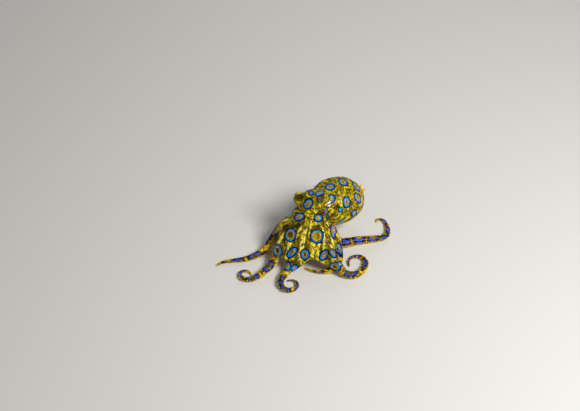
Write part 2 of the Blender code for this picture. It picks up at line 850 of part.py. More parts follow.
def set_down(collection):
    """Move the finished pieces so that the origin is under the middle of the box round them."""
    corners = np.array(
        [corner.co for piece in collection.objects for corner in piece.data.vertices]
    )
    low = corners.min(axis=0)
    high = corners.max(axis=0)
    print("box in mm", np.round(low / MM, 3), np.round(high / MM, 3))
    middle = 0.5 * (low + high)
    for piece in collection.objects:
        mesh = bmesh.new()
        mesh.from_mesh(piece.data)
        bmesh.ops.translate(mesh, verts=mesh.verts, vec=(-middle[0], -middle[1], -low[2]))
        mesh.to_mesh(piece.data)
        mesh.free()
        shade_smooth(piece)


build()
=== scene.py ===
"""Looks of the blue-ringed octopus, a life-size still model that stands on its curled arms.

One skin stands for all the flesh. It grows from the same named sizes as the solids, and suckers, eyes
and the studio are added to it. Sizes are millimetres in the solids' drawing position, where the animal
looks roughly towards -Y and its left side is towards +X. The finished meshes are metres.
"""

import logging
import math
from dataclasses import dataclass, field
from enum import Enum
from typing import Any

import bpy
import numpy as np
from bpy.types import Material, Mesh, Node, NodeSocket, NodeTree, Object
from mathutils import Matrix, Vector, kdtree, noise


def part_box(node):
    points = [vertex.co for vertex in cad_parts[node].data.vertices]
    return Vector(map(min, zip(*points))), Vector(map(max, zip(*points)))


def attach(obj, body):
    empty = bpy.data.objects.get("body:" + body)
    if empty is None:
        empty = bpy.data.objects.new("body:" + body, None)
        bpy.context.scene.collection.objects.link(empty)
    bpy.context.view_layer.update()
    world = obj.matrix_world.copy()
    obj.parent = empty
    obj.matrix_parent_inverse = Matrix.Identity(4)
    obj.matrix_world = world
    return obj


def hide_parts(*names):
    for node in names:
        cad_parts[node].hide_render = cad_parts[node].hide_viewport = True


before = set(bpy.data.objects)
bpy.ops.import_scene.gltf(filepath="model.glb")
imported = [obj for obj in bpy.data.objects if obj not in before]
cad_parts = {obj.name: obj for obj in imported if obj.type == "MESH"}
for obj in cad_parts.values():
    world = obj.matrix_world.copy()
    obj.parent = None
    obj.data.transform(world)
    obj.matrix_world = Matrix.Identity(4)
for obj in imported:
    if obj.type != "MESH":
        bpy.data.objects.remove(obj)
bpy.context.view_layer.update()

log = logging.getLogger("octopus")

MM = 0.001
BODY = "root"
UP = np.array((0.0, 0.0, 1.0))

Pair = tuple[float, float]
Triple = tuple[float, float, float]


def unit(vector: Any) -> np.ndarray:
    """Return a vector scaled to length one."""
    vector = np.asarray(vector, dtype=float)
    return vector / np.linalg.norm(vector)


def unit_rows(rows: np.ndarray) -> np.ndarray:
    """Return each row scaled to length one."""
    return rows / np.maximum(np.linalg.norm(rows, axis=1), 1e-9)[:, None]


def rise(value: Any, low: float = 0.0, high: float = 1.0) -> Any:
    """Return a smooth rise from 0 to 1 as value goes from low to high."""
    part = np.clip((np.asarray(value, dtype=float) - low) / (high - low), 0.0, 1.0)
    return part * part * (3.0 - 2.0 * part)


def bezier(corners: tuple, at: Any) -> np.ndarray:
    """Return the points of a cubic curve.

    Args:
        corners: the curve's four corners.
        at: the parameters, from 0 to 1.

    Returns:
        One row for each parameter.
    """
    a, b, c, d = (np.asarray(corner, dtype=float) for corner in corners)
    at = np.atleast_1d(np.asarray(at, dtype=float))[:, None]
    rest = 1.0 - at
    return rest**3 * a + 3 * rest**2 * at * b + 3 * rest * at**2 * c + at**3 * d


def square_to(direction: Any) -> tuple[np.ndarray, np.ndarray]:
    """Return two directions square to a direction and to each other.

    Args:
        direction: the direction, of any length.

    Returns:
        The first, which is level unless the direction is nearly upright, and the second.
    """
    direction = unit(direction)
    nearly_upright = 0.95
    helper = UP if abs(direction[2]) < nearly_upright else np.array((1.0, 0.0, 0.0))
    side = unit(np.cross(helper, direction))
    return side, np.cross(direction, side)


def circle(sides: int) -> np.ndarray:
    """Return the angles of even corners round a circle, in radians."""
    return np.linspace(0.0, 2.0 * math.pi, sides, endpoint=False)


def from_point(points: np.ndarray, middle: Any) -> np.ndarray:
    """Return how far points lie from a middle."""
    return np.linalg.norm(points - middle, axis=1)


def grain(points: np.ndarray, size: float, seed: float) -> np.ndarray:
    """Return smooth noise from -1 to 1 at points, with features of about the given size."""
    shift = seed * 17.3
    return np.array(
        [noise.noise((x / size + shift, y / size - shift, z / size)) for x, y, z in points]
    )


def warts(points: np.ndarray, size: float, seed: float) -> np.ndarray:
    """Return round bumps whose middles are scattered.

    Args:
        points: where the bumps are wanted.
        size: about how far apart their middles lie.
        seed: tells one scatter from another.

    Returns:
        The height of the bumps at each point, from 0 to 1.
    """
    shift = seed * 11.7
    foot = 0.62
    near = [
        noise.voronoi((x / size + shift, y / size, z / size - shift))[0][0] for x, y, z in points
    ]
    return 1.0 - rise(np.array(near), 0.0, foot)


def link_new(name: str, data: Any) -> Object:
    """Return a new object of the scene.

    Args:
        name: its name.
        data: its mesh, light or camera.

    Returns:
        The object, unturned and unscaled at the origin.
    """
    made = bpy.data.objects.new(name, data)
    bpy.context.scene.collection.objects.link(made)
    return made


def write_fields(mesh: Mesh, fields: dict[str, np.ndarray]) -> None:
    """Write values for the materials at a mesh's corners, by name."""
    for name, values in fields.items():
        layer = mesh.attributes.new(name, "FLOAT", "POINT")
        layer.data.foreach_set("value", np.asarray(values, dtype=np.float32))


class Part(Enum):
    """A region of the skin that a marking belongs to."""

    BODY = "body"
    RIGHT_1 = "right_1"
    RIGHT_2 = "right_2"
    RIGHT_3 = "right_3"
    RIGHT_4 = "right_4"
    LEFT_1 = "left_1"
    LEFT_2 = "left_2"
    LEFT_3 = "left_3"
    LEFT_4 = "left_4"


@dataclass(frozen=True)
class Arm:
    """One arm: where it leaves the mouth, where it reaches the floor and how it bends there."""

    ring: float
    touch: Pair
    heading: float
    bends: tuple[Pair, ...]
    leave: float
    land: float
    lift: float = 0.8


ARMS = {
    Part.RIGHT_1: Arm(
        -26, (-11.3, -11.2), -122, ((4, 7), (4, 35), (6, 80), (6, 78), (5, 84), (3.5, 53)), 10, 8
    ),
    Part.RIGHT_2: Arm(
        -70, (-20.0, -6.6), -130, ((9, -10), (5, -36), (5, -62), (4, -78), (4, -80), (3, -50)), 12, 8
    ),
    Part.RIGHT_3: Arm(
        -113, (-23.0, 5.4), -138, ((8, -18), (8, -22), (7, 10), (5, 38)), 15, 8, 2.0
    ),
    Part.RIGHT_4: Arm(-157, (-0.5, 30.5), 100, ((8, -15), (7, -50), (6, -60), (6, -90)), 6, 6),
    Part.LEFT_1: Arm(
        26, (20.1, -11.3), -30, ((4, 34), (6, 48), (6, 23), (6, 67), (5, 61), (4, 52), (4, 42)), 10, 9, 8.0
    ),
    Part.LEFT_2: Arm(70, (17.2, -2.8), -108, ((5, -28), (5, -42), (8, -22), (4, -28)), 9, 4),
    Part.LEFT_3: Arm(
        112, (21.0, 10.6), 20, ((8, -8), (8, -4), (6, 12), (4, 60), (5, 18), (5, 8), (4, 80), (3, 90)), 7, 8
    ),
    Part.LEFT_4: Arm(157, (9.5, 30.5), 62, ((8, -10), (8, 20), (6, 70), (6, 100)), 6, 6),
}


@dataclass(frozen=True)
class Web:
    """The sheet between two arms: how far it follows each one, and how its edge is arched.

    hug makes the edge stay longer by the arms before it rises.
    """

    first: Part
    second: Part
    first_end: float
    second_end: float
    arch: float
    bulge: float = 0.6
    hug: float = 1.0


WEBS = (
    Web(Part.RIGHT_1, Part.LEFT_1, 31.5, 30.5, 9.5, hug=1.8),
    Web(Part.RIGHT_2, Part.RIGHT_1, 27, 25, 3.0, 1.6),
    Web(Part.RIGHT_3, Part.RIGHT_2, 20, 22, 2.5, 2.6),
    Web(Part.RIGHT_4, Part.RIGHT_3, 12, 14, 3.5, 1.5),
    Web(Part.LEFT_4, Part.RIGHT_4, 12, 12, 3.0),
    Web(Part.LEFT_3, Part.LEFT_4, 12, 12, 3.5),
    Web(Part.LEFT_2, Part.LEFT_3, 16, 14, 3.0),
    Web(Part.LEFT_1, Part.LEFT_2, 20, 18, 3.0),
)


def web_reach(limbs: list[Part]) -> np.ndarray:
    """Return how far the webs reach down each of some arms."""
    return np.array(
        [
            max(
                reach
                for web in WEBS
                for limb, reach in ((web.first, web.first_end), (web.second, web.second_end))
                if limb is own
            )
            for own in limbs
        ]
    )


@dataclass(frozen=True)
class Crown:
    """The sizes of the crown of arms round the mouth, the same as in the solids."""

    mouth: Triple = (3.5, 12.5, 16.5)
    axis: Triple = (-0.10, -0.45, -0.89)
    left: Triple = (1.0, -0.15, 0.0)
    radius: float = 5.5
    root_radius: float = 0.086 * 35.0
    tip_radius: float = 0.42
    taper: float = 1.5
    side_at_root: float = 0.62
    side_grows_over: float = 7.0
    underside: float = 0.8
    touch_radius: float = 2.3
    sucker_height: float = 0.55
    sucker_least_height: float = 0.35
    sucker_full_height_radius: float = 2.0
    upright_over: float = 6.0
    step: float = 0.25
    smoothing: int = 17

    def directions(self) -> tuple[np.ndarray, np.ndarray, np.ndarray]:
        """Return the crown's own directions.

        Returns:
            Its axis away from the head, its left and its front.
        """
        axis = unit(self.axis)
        left = np.asarray(self.left)
        left = unit(left - left @ axis * axis)
        front = np.cross(left, axis)
        return axis, left, front if front[1] < 0 else -front

    def arm_radius(self, part: Any) -> Any:
        """Return an arm's radius at parts of its length."""
        part = np.clip(part, 0.0, 1.0)
        return self.tip_radius + (self.root_radius - self.tip_radius) * (1.0 - part**self.taper)

    def wide(self, along: Any, radius: Any) -> Any:
        """Return the half-width across an arm, squeezed between its neighbours at the root."""
        grown = rise(along, 0.0, self.side_grows_over)
        return radius * (self.side_at_root + (1.0 - self.side_at_root) * grown)

    def stand_off(self, radius: Any) -> Any:
        """Return how far the suckers hold an arm of the given radius off the floor."""
        part = np.clip(radius / self.sucker_full_height_radius, self.sucker_least_height, 1.0)
        return self.sucker_height * part


class ArmPath:
    """The centre line of an arm with its radius and its directions at every step."""

    def __init__(self, arm: Arm, crown: Crown) -> None:
        """Lay out the arm's way down from the mouth and along the floor.

        Args:
            arm: the arm.
            crown: the sizes that all arms share.
        """
        self.crown = crown
        _, left, front = crown.directions()
        ring = math.radians(arm.ring)
        outward = math.cos(ring) * front + math.sin(ring) * left
        root = np.asarray(crown.mouth) + crown.radius * outward
        heading = math.radians(arm.heading)
        ahead = np.array((math.cos(heading), math.sin(heading), 0.0))
        height = crown.underside * crown.touch_radius + crown.sucker_height
        touch = np.array((*arm.touch, height))
        before = touch - ahead * arm.land + UP * arm.lift
        corners = (root, root + outward * arm.leave, before, touch)
        down = bezier(corners, np.linspace(0.0, 1.0, 200))
        plan = self.floor_plan(arm)
        points = np.concatenate((down, np.column_stack((plan, np.full(len(plan), height)))[1:]))
        steps = np.linalg.norm(np.diff(points, axis=0), axis=1)
        walked = np.concatenate(([0.0], np.cumsum(steps)))
        self.length = float(walked[-1])
        self.touch = float(walked[len(down) - 1])
        self.along = np.linspace(0.0, self.length, int(self.length / crown.step))
        self.centre = np.stack(
            [np.interp(self.along, walked, points[:, i]) for i in range(3)], axis=1
        )
        self.radius = crown.arm_radius(self.along / self.length)
        lying = crown.underside * self.radius + crown.stand_off(self.radius)
        sink = np.interp(self.touch, self.along, lying) - height
        eased = self.centre[:, 2] + sink * np.clip(self.along / self.touch, 0.0, 1.0)
        self.centre[:, 2] = np.where(self.along >= self.touch, lying, eased)
        self.ahead = unit_rows(np.gradient(self.centre, axis=0))
        lean = rise(self.touch - self.along, 0.0, crown.upright_over)
        wanted = UP + lean[:, None] * unit((outward[0], outward[1], 0.0))
        across = np.sum(wanted * self.ahead, axis=1)[:, None] * self.ahead
        self.back = unit_rows(wanted - across)
        self.side = np.cross(self.ahead, self.back)

    def floor_plan(self, arm: Arm) -> np.ndarray:
        """Return the plan of the arm's stretch on the floor, whose bends run into each other.

        Args:
            arm: the arm.

        Returns:
            Its x and y, one row for each step.
        """
        step = self.crown.step
        turns = [
            np.full(max(1, round(length / step)), math.radians(turn) / length)
            for length, turn in arm.bends
        ]
        half = self.crown.smoothing // 2
        padded = np.pad(np.concatenate(turns), half, mode="edge")
        window = np.ones(self.crown.smoothing) / self.crown.smoothing
        turning = np.convolve(padded, window, mode="valid")
        heading = math.radians(arm.heading) + np.concatenate(([0.0], np.cumsum(turning) * step))
        steps = np.stack((np.cos(heading[:-1]), np.sin(heading[:-1])), axis=1) * step
        return np.asarray(arm.touch) + np.concatenate(([[0.0, 0.0]], np.cumsum(steps, axis=0)))

    def at(self, along: Any, values: np.ndarray) -> np.ndarray:
        """Return some of the arm's values at distances along it.

        Args:
            along: one distance or several, in mm.
            values: one of the arm's arrays.

        Returns:
            A value, or a row, for each distance.
        """
        if values.ndim == 1:
            return np.interp(along, self.along, values)
        columns = [np.interp(along, self.along, values[:, i]) for i in range(values.shape[1])]
        return np.stack(columns, axis=-1)

    def surface(self, along: float, turn: Any) -> np.ndarray:
        """Return points of the arm's skin.

        Args:
            along: the distance along the arm.
            turn: the angles round it from its back, in radians.

        Returns:
            One row for each angle.
        """
        turn = np.atleast_1d(turn)
        radius = float(self.at(along, self.radius))
        wide = self.crown.wide(along, radius)
        tall = radius * np.where(np.cos(turn) > 0, 1.0, self.crown.underside)
        back = unit(self.at(along, self.back))
        side = unit(self.at(along, self.side))
        across = (wide * np.sin(turn))[:, None] * side
        return self.at(along, self.centre) + across + (tall * np.cos(turn))[:, None] * back


@dataclass
class Patchwork:
    """A growing mesh of closed pieces, in mm."""

    corners: list[np.ndarray] = field(default_factory=list)
    faces: list[tuple[int, ...]] = field(default_factory=list)
    count: int = 0

    def add(self, corners: np.ndarray, faces: list[tuple[int, ...]]) -> None:
        """Add a piece.

        Args:
            corners: its corners.
            faces: its faces, as numbers of its own corners.
        """
        self.faces.extend(tuple(i + self.count for i in face) for face in faces)
        self.corners.append(np.asarray(corners, dtype=float))
        self.count += len(corners)

    def bands(self, rows: int, columns: int, meets: bool) -> list[tuple[int, ...]]:
        """Return the squares between closed rings of corners.

        Args:
            rows: how many rings there are.
            columns: how many corners each has.
            meets: whether the last ring is joined to the first.

        Returns:
            The squares, as corner numbers.
        """
        faces = []
        for i in range(rows if meets else rows - 1):
            near = i * columns
            far = (i + 1) % rows * columns
            for k in range(columns):
                after = (k + 1) % columns
                faces.append((near + k, near + after, far + after, far + k))
        return faces

    def sweep(self, rings: np.ndarray, start: Any = None, end: Any = None) -> None:
        """Add a tube that runs through closed rings of corners.

        Args:
            rings: the corners, as rings by corners by coordinates.
            start: the point that closes the first ring, or None for a tube that meets itself.
            end: the point that closes the last ring.
        """
        rows, columns = rings.shape[:2]
        corners = rings.reshape(-1, 3)
        faces = self.bands(rows, columns, start is None)
        if start is not None:
            corners = np.concatenate((corners, [start, end]))
            first = rows * columns
            last = (rows - 1) * columns
            for k in range(columns):
                after = (k + 1) % columns
                faces.append((first, after, k))
                faces.append((first + 1, last + k, last + after))
        self.add(corners, faces)

    def turn(self, profile: tuple, centre: Any, direction: Any, sides: int) -> None:
        """Add a turned piece.

        Args:
            profile: (distance along the axis, radius) pairs that start and end at radius zero.
            centre: where the distances start.
            direction: the axis.
            sides: how many corners a ring has.
        """
        direction = unit(direction)
        side, up = square_to(direction)
        angles = circle(sides)[:, None]
        round_it = np.cos(angles) * side + np.sin(angles) * up
        centre = np.asarray(centre, dtype=float)
        rings = [centre + direction * far + radius * round_it for far, radius in profile[1:-1]]
        start = centre + direction * profile[0][0]
        self.sweep(np.array(rings), start, centre + direction * profile[-1][0])

    def mesh(self, name: str) -> Mesh:
        """Return the pieces as one mesh in mm."""
        made = bpy.data.meshes.new(name)
        made.from_pydata(np.concatenate(self.corners).tolist(), [], self.faces)
        made.update()
        return made

    def make(self, name: str, fields: dict[str, np.ndarray]) -> Object:
        """Return the pieces as one smooth new object in mm.

        Args:
            name: its name.
            fields: values for its material at its corners, by name.

        Returns:
            The object.
        """
        mesh = self.mesh(name)
        mesh.shade_smooth()
        write_fields(mesh, fields)
        return link_new(name, mesh)


@dataclass(frozen=True)
class Blob:
    """An ellipsoid that the head grows from."""

    centre: Triple
    half: Triple


@dataclass(frozen=True)
class Head:
    """The head's swellings, the bulges under its eyes and the siphon."""

    blobs: tuple[Blob, ...] = (
        Blob((4.4, 16.9, 27.8), (8.2, 6.8, 8.0)),
        Blob((2.4, 14.4, 20.6), (10.6, 8.2, 6.2)),
        Blob((4.1, 15.4, 24.6), (8.1, 6.9, 5.6)),
        Blob((9.0, 20.0, 25.5), (7.4, 6.6, 7.2)),
    )
    bulges: tuple[Triple, ...] = ((9.75, 15.75, 28.2), (-3.0, 18.4, 28.4))
    bulge_radii: Pair = (3.6, 3.8)
    looks: tuple[Triple, ...] = ((0.62, -0.62, 0.48), (-0.90, 0.36, 0.24))
    eye_offset: float = 1.9
    eye_radius: float = 2.2
    siphon_base: Triple = (11.2, 14.2, 24.5)
    siphon_mouth: Triple = (14.8, 9.8, 23.6)
    siphon_radii: tuple[float, float, float, float] = (2.25, 2.1, 2.6, 1.35)
    siphon_depth: float = 3.8
    siphon_free_from: float = 0.3
    rows: int = 40
    sides: int = 40
    blob_sides: int = 60

    def eye_centre(self, which: int) -> np.ndarray:
        """Return the centre of an eyeball, 0 for the left one and 1 for the right one."""
        return np.asarray(self.bulges[which]) + unit(self.looks[which]) * self.eye_offset

    def from_siphon(self, points: np.ndarray) -> np.ndarray:
        """Return how far points lie from the middle line of the siphon's free length.

        Args:
            points: the points.

        Returns:
            A distance for each.
        """
        base = np.asarray(self.siphon_base)
        along = np.subtract(self.siphon_mouth, base)
        part = np.clip((points - base) @ along / (along @ along), self.siphon_free_from, 1.0)
        return from_point(points - part[:, None] * along, base)

    def add_to(self, made: Patchwork) -> None:
        """Add the head and the bulges to a mesh.

        Args:
            made: the mesh.
        """
        angles = np.linspace(0.0, math.pi, self.rows + 1)
        pole = [(-math.cos(angle), math.sin(angle)) for angle in angles]
        for blob in self.blobs:
            made.turn(tuple(pole), (0.0, 0.0, 0.0), UP, self.blob_sides)
            made.corners[-1] = np.asarray(blob.centre) + made.corners[-1] * np.asarray(blob.half)
        for centre, radius in zip(self.bulges, self.bulge_radii):
            sphere = tuple((far * radius, wide * radius) for far, wide in pole)
            made.turn(sphere, centre, UP, self.sides)

    def add_siphon_to(self, made: Patchwork) -> None:
        """Add the siphon, a short tube with a rolled lip, to a mesh.

        Args:
            made: the mesh.
        """
        base, neck, lip, bore = self.siphon_radii
        direction = np.subtract(self.siphon_mouth, self.siphon_base)
        length = float(np.linalg.norm(direction))
        profile = (
            (0.0, 0.0), (0.0, base), (0.35 * length, 0.5 * (base + neck)), (0.7 * length, neck),
            (0.88 * length, 0.5 * (neck + lip)), (0.95 * length, lip), (length, lip - 0.15),
            (length + 0.1, lip - 0.5), (length - 0.1, bore + 0.45), (length - 0.6, bore + 0.1),
            (length - 1.2, bore), (length - self.siphon_depth, 0.7 * bore),
            (length - self.siphon_depth, 0.0),
        )
        made.turn(profile, self.siphon_base, direction, self.sides)


@dataclass(frozen=True)
class Lid:
    """The rim of skin round an eye, an oval tube that lies on the eyeball.

    brow is how much thicker it is towards the front and the top, for the left and the right eye.
    """

    half_long: float = 2.15
    half_narrow: float = 1.75
    thick_ends: float = 0.55
    thick_sides: float = 0.72
    brow: Pair = (0.0, 0.32)
    brow_side: Triple = (0.1, -0.75, 0.66)
    tilt: float = 18.0
    least_reach: float = 0.6325
    stand_out: float = 0.05
    sides: int = 64
    sides_of_tube: int = 14

    def add_to(self, made: Patchwork, head: Head, which: int) -> None:
        """Add the lid of one eye to a mesh.

        Args:
            made: the mesh.
            head: the head.
            which: 0 for the left eye and 1 for the right one.
        """
        look = unit(head.looks[which])
        side, up = square_to(look)
        centre = head.eye_centre(which)
        tilt = math.radians(self.tilt if which == 0 else -self.tilt)
        rings = []
        for turn in circle(self.sides):
            x = self.half_long * math.cos(turn)
            y = self.half_narrow * math.sin(turn)
            out = (x * math.cos(tilt) - y * math.sin(tilt)) * side
            out = out + (x * math.sin(tilt) + y * math.cos(tilt)) * up
            reach = math.sqrt(max(head.eye_radius**2 - out @ out, self.least_reach**2))
            middle = centre + out + look * (reach + self.stand_out)
            thick = self.thick_ends + (self.thick_sides - self.thick_ends) * math.sin(turn) ** 2
            outward = unit(out)
            thick += self.brow[which] * float(rise(outward @ unit(self.brow_side), -0.2, 0.9))
            rings.append(
                [
                    middle + thick * (math.cos(angle) * outward + math.sin(angle) * look)
                    for angle in circle(self.sides_of_tube)
                ]
            )
        made.sweep(np.array(rings))


@dataclass(frozen=True)
class Mantle:
    """The mantle, a sphere drawn out along a bent spine, with spikes of skin at its tip.

    Each kind of spike has an added turn, how far it sinks in, how far out it stands, its slant and
    its size.
    """

    spine: tuple = ((6.5, 19.0, 25.2), (12.0, 23.0, 20.4), (21.2, 29.5, 17.6), (30.2, 34.6, 19.9))
    front: float = -0.08
    widest: float = 0.46
    bluntness: float = 2.3
    radius: float = 0.37 * 35.0
    spikes: int = 3
    spike_length: float = 4.3
    spike_shrink: float = 0.12
    spike_first_turn: float = 0.25
    spike_kinds: tuple = ((0.0, 0.96, 1.1, 0.45, 1.0), (0.9, 0.8, 1.7, 1.1, 0.5))
    rows: int = 64
    sides: int = 72

    def tip(self) -> tuple[np.ndarray, np.ndarray]:
        """Return the mantle's tip and the direction in which it points."""
        tip = bezier(self.spine, 1.0)[0]
        return tip, unit(tip - bezier(self.spine, 0.99)[0])

    def radius_at(self, part: Any) -> Any:
        """Return the mantle's radius at parts of its spine."""
        inside = 1.0 - np.abs((part - self.widest) / (1.0 - self.widest)) ** self.bluntness
        return self.radius * np.sqrt(np.maximum(inside, 0.0))

    def add_to(self, made: Patchwork) -> None:
        """Add the mantle to a mesh.

        Args:
            made: the mesh.
        """
        angles = circle(self.sides)[:, None]
        whole = 1.0 - self.front
        rings = []
        for k in range(1, self.rows):
            part = self.front + whole * 0.5 * (1.0 - math.cos(math.pi * k / self.rows))
            centre = bezier(self.spine, part)[0]
            side, up = square_to(bezier(self.spine, part + 0.01)[0] - centre)
            rings.append(centre + self.radius_at(part) * (np.cos(angles) * side + np.sin(angles) * up))
        ends = bezier(self.spine, (self.front, 1.0))
        made.sweep(np.array(rings), ends[0], ends[1])

    def nearness(self, points: np.ndarray) -> np.ndarray:
        """Return how far points lie from the mantle's spine, in parts of its radius there.

        Args:
            points: the points.

        Returns:
            A number for each, about 1 for those on the mantle's own skin.
        """
        parts = np.linspace(0.02, 0.98, 49)
        near = [
            from_point(points, middle) / self.radius_at(part)
            for part, middle in zip(parts, bezier(self.spine, parts))
        ]
        return np.min(near, axis=0)

    def spike_places(self) -> "Places":
        """Return where the pointed papillae of the mantle's tip stand.

        Returns:
            A tall one and a low one for each spike.
        """
        found = Places()
        tip, ahead = self.tip()
        side, up = square_to(ahead)
        for k in range(self.spikes):
            for turn, sink, spread, slant, size in self.spike_kinds:
                angle = 2.0 * math.pi * (k + self.spike_first_turn) / self.spikes + turn
                lean = math.cos(angle) * side + math.sin(angle) * up
                length = size * self.spike_length * (1.0 - self.spike_shrink * k)
                found.stand(tip - ahead * sink + lean * spread, unit(ahead + slant * lean), length)
        return found


@dataclass(frozen=True)
class PhotoView:
    """The photograph's view of the animal: it maps the drawing position to pixels and back."""

    width: int = 580
    height: int = 411
    lens: float = 70.0
    sensor: float = 36.0
    elevation: float = 45.0
    mm_per_pixel: float = 0.54
    aim: Triple = (3.0, 10.0, 12.0)
    aim_pixel: Pair = (306.5, 260.7)

    @property
    def focal(self) -> float:
        """Return the focal length in pixels."""
        return self.lens / self.sensor * self.width

    def axes(self) -> tuple[np.ndarray, np.ndarray, np.ndarray]:
        """Return the camera's directions.

        Returns:
            Its right, its up and its forward direction.
        """
        angle = math.radians(self.elevation)
        right = np.array((1.0, 0.0, 0.0))
        up = np.array((0.0, math.sin(angle), math.cos(angle)))
        return right, up, np.array((0.0, math.cos(angle), -math.sin(angle)))

    def place(self) -> np.ndarray:
        """Return the camera's place, from which a pixel at the aim is as large as it should be.

        Returns:
            The place in the drawing position.
        """
        right, up, forward = self.axes()
        aim = np.asarray(self.aim)
        x = self.aim_pixel[0] + aim @ right / self.mm_per_pixel
        y = self.aim_pixel[1] - aim @ up / self.mm_per_pixel
        distance = self.focal * self.mm_per_pixel
        slope_x = (x - 0.5 * self.width) / self.focal
        slope_y = (0.5 * self.height - y) / self.focal
        return aim - distance * (forward + slope_x * right + slope_y * up)

    def project(self, points: np.ndarray) -> tuple[np.ndarray, np.ndarray, np.ndarray]:
        """Return where points lie in the picture.

        Args:
            points: the points, in the drawing position.

        Returns:
            Their pixel columns, their pixel rows and their depths.
        """
        right, up, forward = self.axes()
        away = points - self.place()
        depth = away @ forward
        x = 0.5 * self.width + self.focal * (away @ right) / depth
        return x, 0.5 * self.height - self.focal * (away @ up) / depth, depth


@dataclass(frozen=True)
class Mark:
    """A blue ring as the photograph shows it, measured in pixels from line to line.

    tilt is the angle of its long side above the picture's right. heart tells how dark its middle
    is. gap is the direction in which its line is open, and glow how bright the line is. A dot is
    blue all over.
    """

    x: float
    y: float
    long: float
    wide: float
    tilt: float = 0.0
    heart: float = 0.35
    gap: float | None = None
    opening: float = 75.0
    glow: float = 1.0
    dot: bool = False


MARKS = {
    Part.BODY: (
        Mark(329.9, 187.0, 7.6, 4.5, -3),
        Mark(342.9, 182.2, 8.0, 4.4, -28),
        Mark(356.2, 186.8, 8.8, 3.2, -50, gap=40, opening=60),
        Mark(357.4, 197.9, 8.6, 4.2, -65),
        Mark(363.0, 202.4, 9.0, 1.4, 83, glow=0.7),
        Mark(363.5, 192.4, 4.0, 1.0, -88, glow=0.7),
        Mark(346.6, 202.3, 8.8, 5.4, -85),
        Mark(354.1, 213.2, 5.2, 3.3, 75),
        Mark(340.5, 209.6, 3.6, 2.2, 90, dot=True),
        Mark(341.4, 220.5, 1.7, 1.7, dot=True),
        Mark(317.7, 183.4, 8.0, 1.6, 30, glow=0.8),
        Mark(308.2, 190.4, 1.7, 1.7, dot=True, glow=0.5),
        Mark(311.2, 193.2, 3.6, 2.2, 30),
        Mark(319.5, 193.4, 7.0, 2.6, 15, heart=0.6),
        Mark(331.9, 198.3, 5.8, 4.2, -75, gap=200, opening=90),
        Mark(325.9, 210.2, 6.0, 0.9, 50, glow=0.8),
        Mark(328.1, 215.4, 4.0, 1.2, 90, gap=0, opening=80),
        Mark(308.1, 204.0, 8.8, 6.0, 52),
        Mark(299.1, 216.9, 8.2, 5.0, 20, heart=0.45),
        Mark(318.3, 217.9, 6.4, 5.6, -15, heart=0.1),
        Mark(290.8, 235.0, 10.4, 8.0, 70, heart=0.6),
        Mark(316.8, 236.0, 11.8, 11.0, 90, heart=0.15),
        Mark(333.0, 230.3, 13.0, 3.6, 88),
        Mark(277.9, 250.6, 9.4, 6.8, -70, heart=0.8),
        Mark(292.0, 252.5, 10.6, 4.6, 45, heart=0.85),
        Mark(305.0, 254.4, 8.4, 6.6, -80, heart=1.0),
        Mark(324.0, 255.1, 9.4, 4.8, 55, heart=0.7),
        Mark(332.5, 253.3, 7.5, 3.2, -55, heart=0.8, gap=150),
        Mark(338.6, 247.9, 6.4, 2.8, 85),
        Mark(339.0, 257.5, 1.5, 1.5, dot=True),
        # This ring's line is made faint as painted shade, for it lies on the shaded flank by the right
        # arms.
        Mark(277.5, 230.5, 8.0, 3.0, 60, glow=0.2, heart=0.8),
        Mark(335.0, 266.6, 8.8, 6.0, -14, heart=0.8),
        Mark(339.6, 264.2, 4.0, 3.2),
        Mark(287.6, 266.4, 6.4, 4.4, 80, heart=0.7, gap=180, opening=80),
        Mark(294.2, 267.9, 5.4, 4.0, 30, heart=0.2),
    ),
    Part.LEFT_1: (
        Mark(351.0, 272.8, 9.2, 5.0, 12, heart=0.7, gap=55, opening=35),
        Mark(362.9, 263.2, 5.6, 5.2, heart=0.8, gap=150, opening=50),
        Mark(357.0, 255.6, 3.8, 3.0, gap=-90),
        Mark(350.7, 258.3, 3.0, 1.6, -35, glow=0.7),
        Mark(348.2, 262.4, 1.2, 1.2, dot=True, glow=0.7),
    ),
    Part.LEFT_2: (
        Mark(318.7, 271.8, 6.4, 2.4, 0, glow=0.7, gap=90),
    ),
    Part.LEFT_3: (
        Mark(345.3, 241.7, 6.2, 2.8, -20, heart=0.7),
        Mark(359.2, 242.9, 5.8, 2.6, 5, heart=1.0),
        Mark(358.6, 239.2, 8.0, 3.0, 0, heart=0.7, gap=90),
        Mark(372.7, 238.4, 6.6, 5.0, 0, heart=0.6, gap=90, opening=130),
        Mark(384.2, 239.3, 7.0, 5.0, 20, heart=0.6),
        Mark(387.4, 230.1, 7.2, 2.6, -52, heart=0.5),
        Mark(385.0, 222.5, 3.6, 2.4, -30, glow=0.8),
        Mark(380.4, 221.0, 2.6, 1.6, 40, glow=0.7),
    ),
    Part.RIGHT_1: (
        Mark(283.5, 277.8, 5.0, 1.2, -42),
        Mark(280.9, 282.4, 4.6, 1.2, 15),
        Mark(285.4, 288.2, 6.6, 4.8, 0, heart=0.7, gap=90, opening=50),
        Mark(295.8, 286.5, 5.2, 3.6, 80, heart=0.8, gap=215, opening=60),
        Mark(290.8, 280.4, 3.4, 2.0, 0, gap=90),
    ),
    Part.RIGHT_2: (
        Mark(268.0, 266.0, 9.6, 5.8, 62, heart=0.75),
        Mark(252.5, 278.4, 9.4, 5.4, 20, heart=0.8, gap=125, opening=50),
        Mark(241.5, 274.5, 4.0, 3.4, 40, gap=200),
        Mark(245.0, 269.5, 3.4, 1.4, 10),
    ),
    Part.RIGHT_3: (
        Mark(254.6, 256.1, 9.2, 5.4, 15, heart=0.8, gap=-40, opening=60),
        Mark(237.6, 261.8, 9.6, 4.4, 12, heart=0.8, gap=-80, opening=60),
        Mark(226.0, 263.5, 4.0, 2.0, 10, glow=0.5),
    ),
}


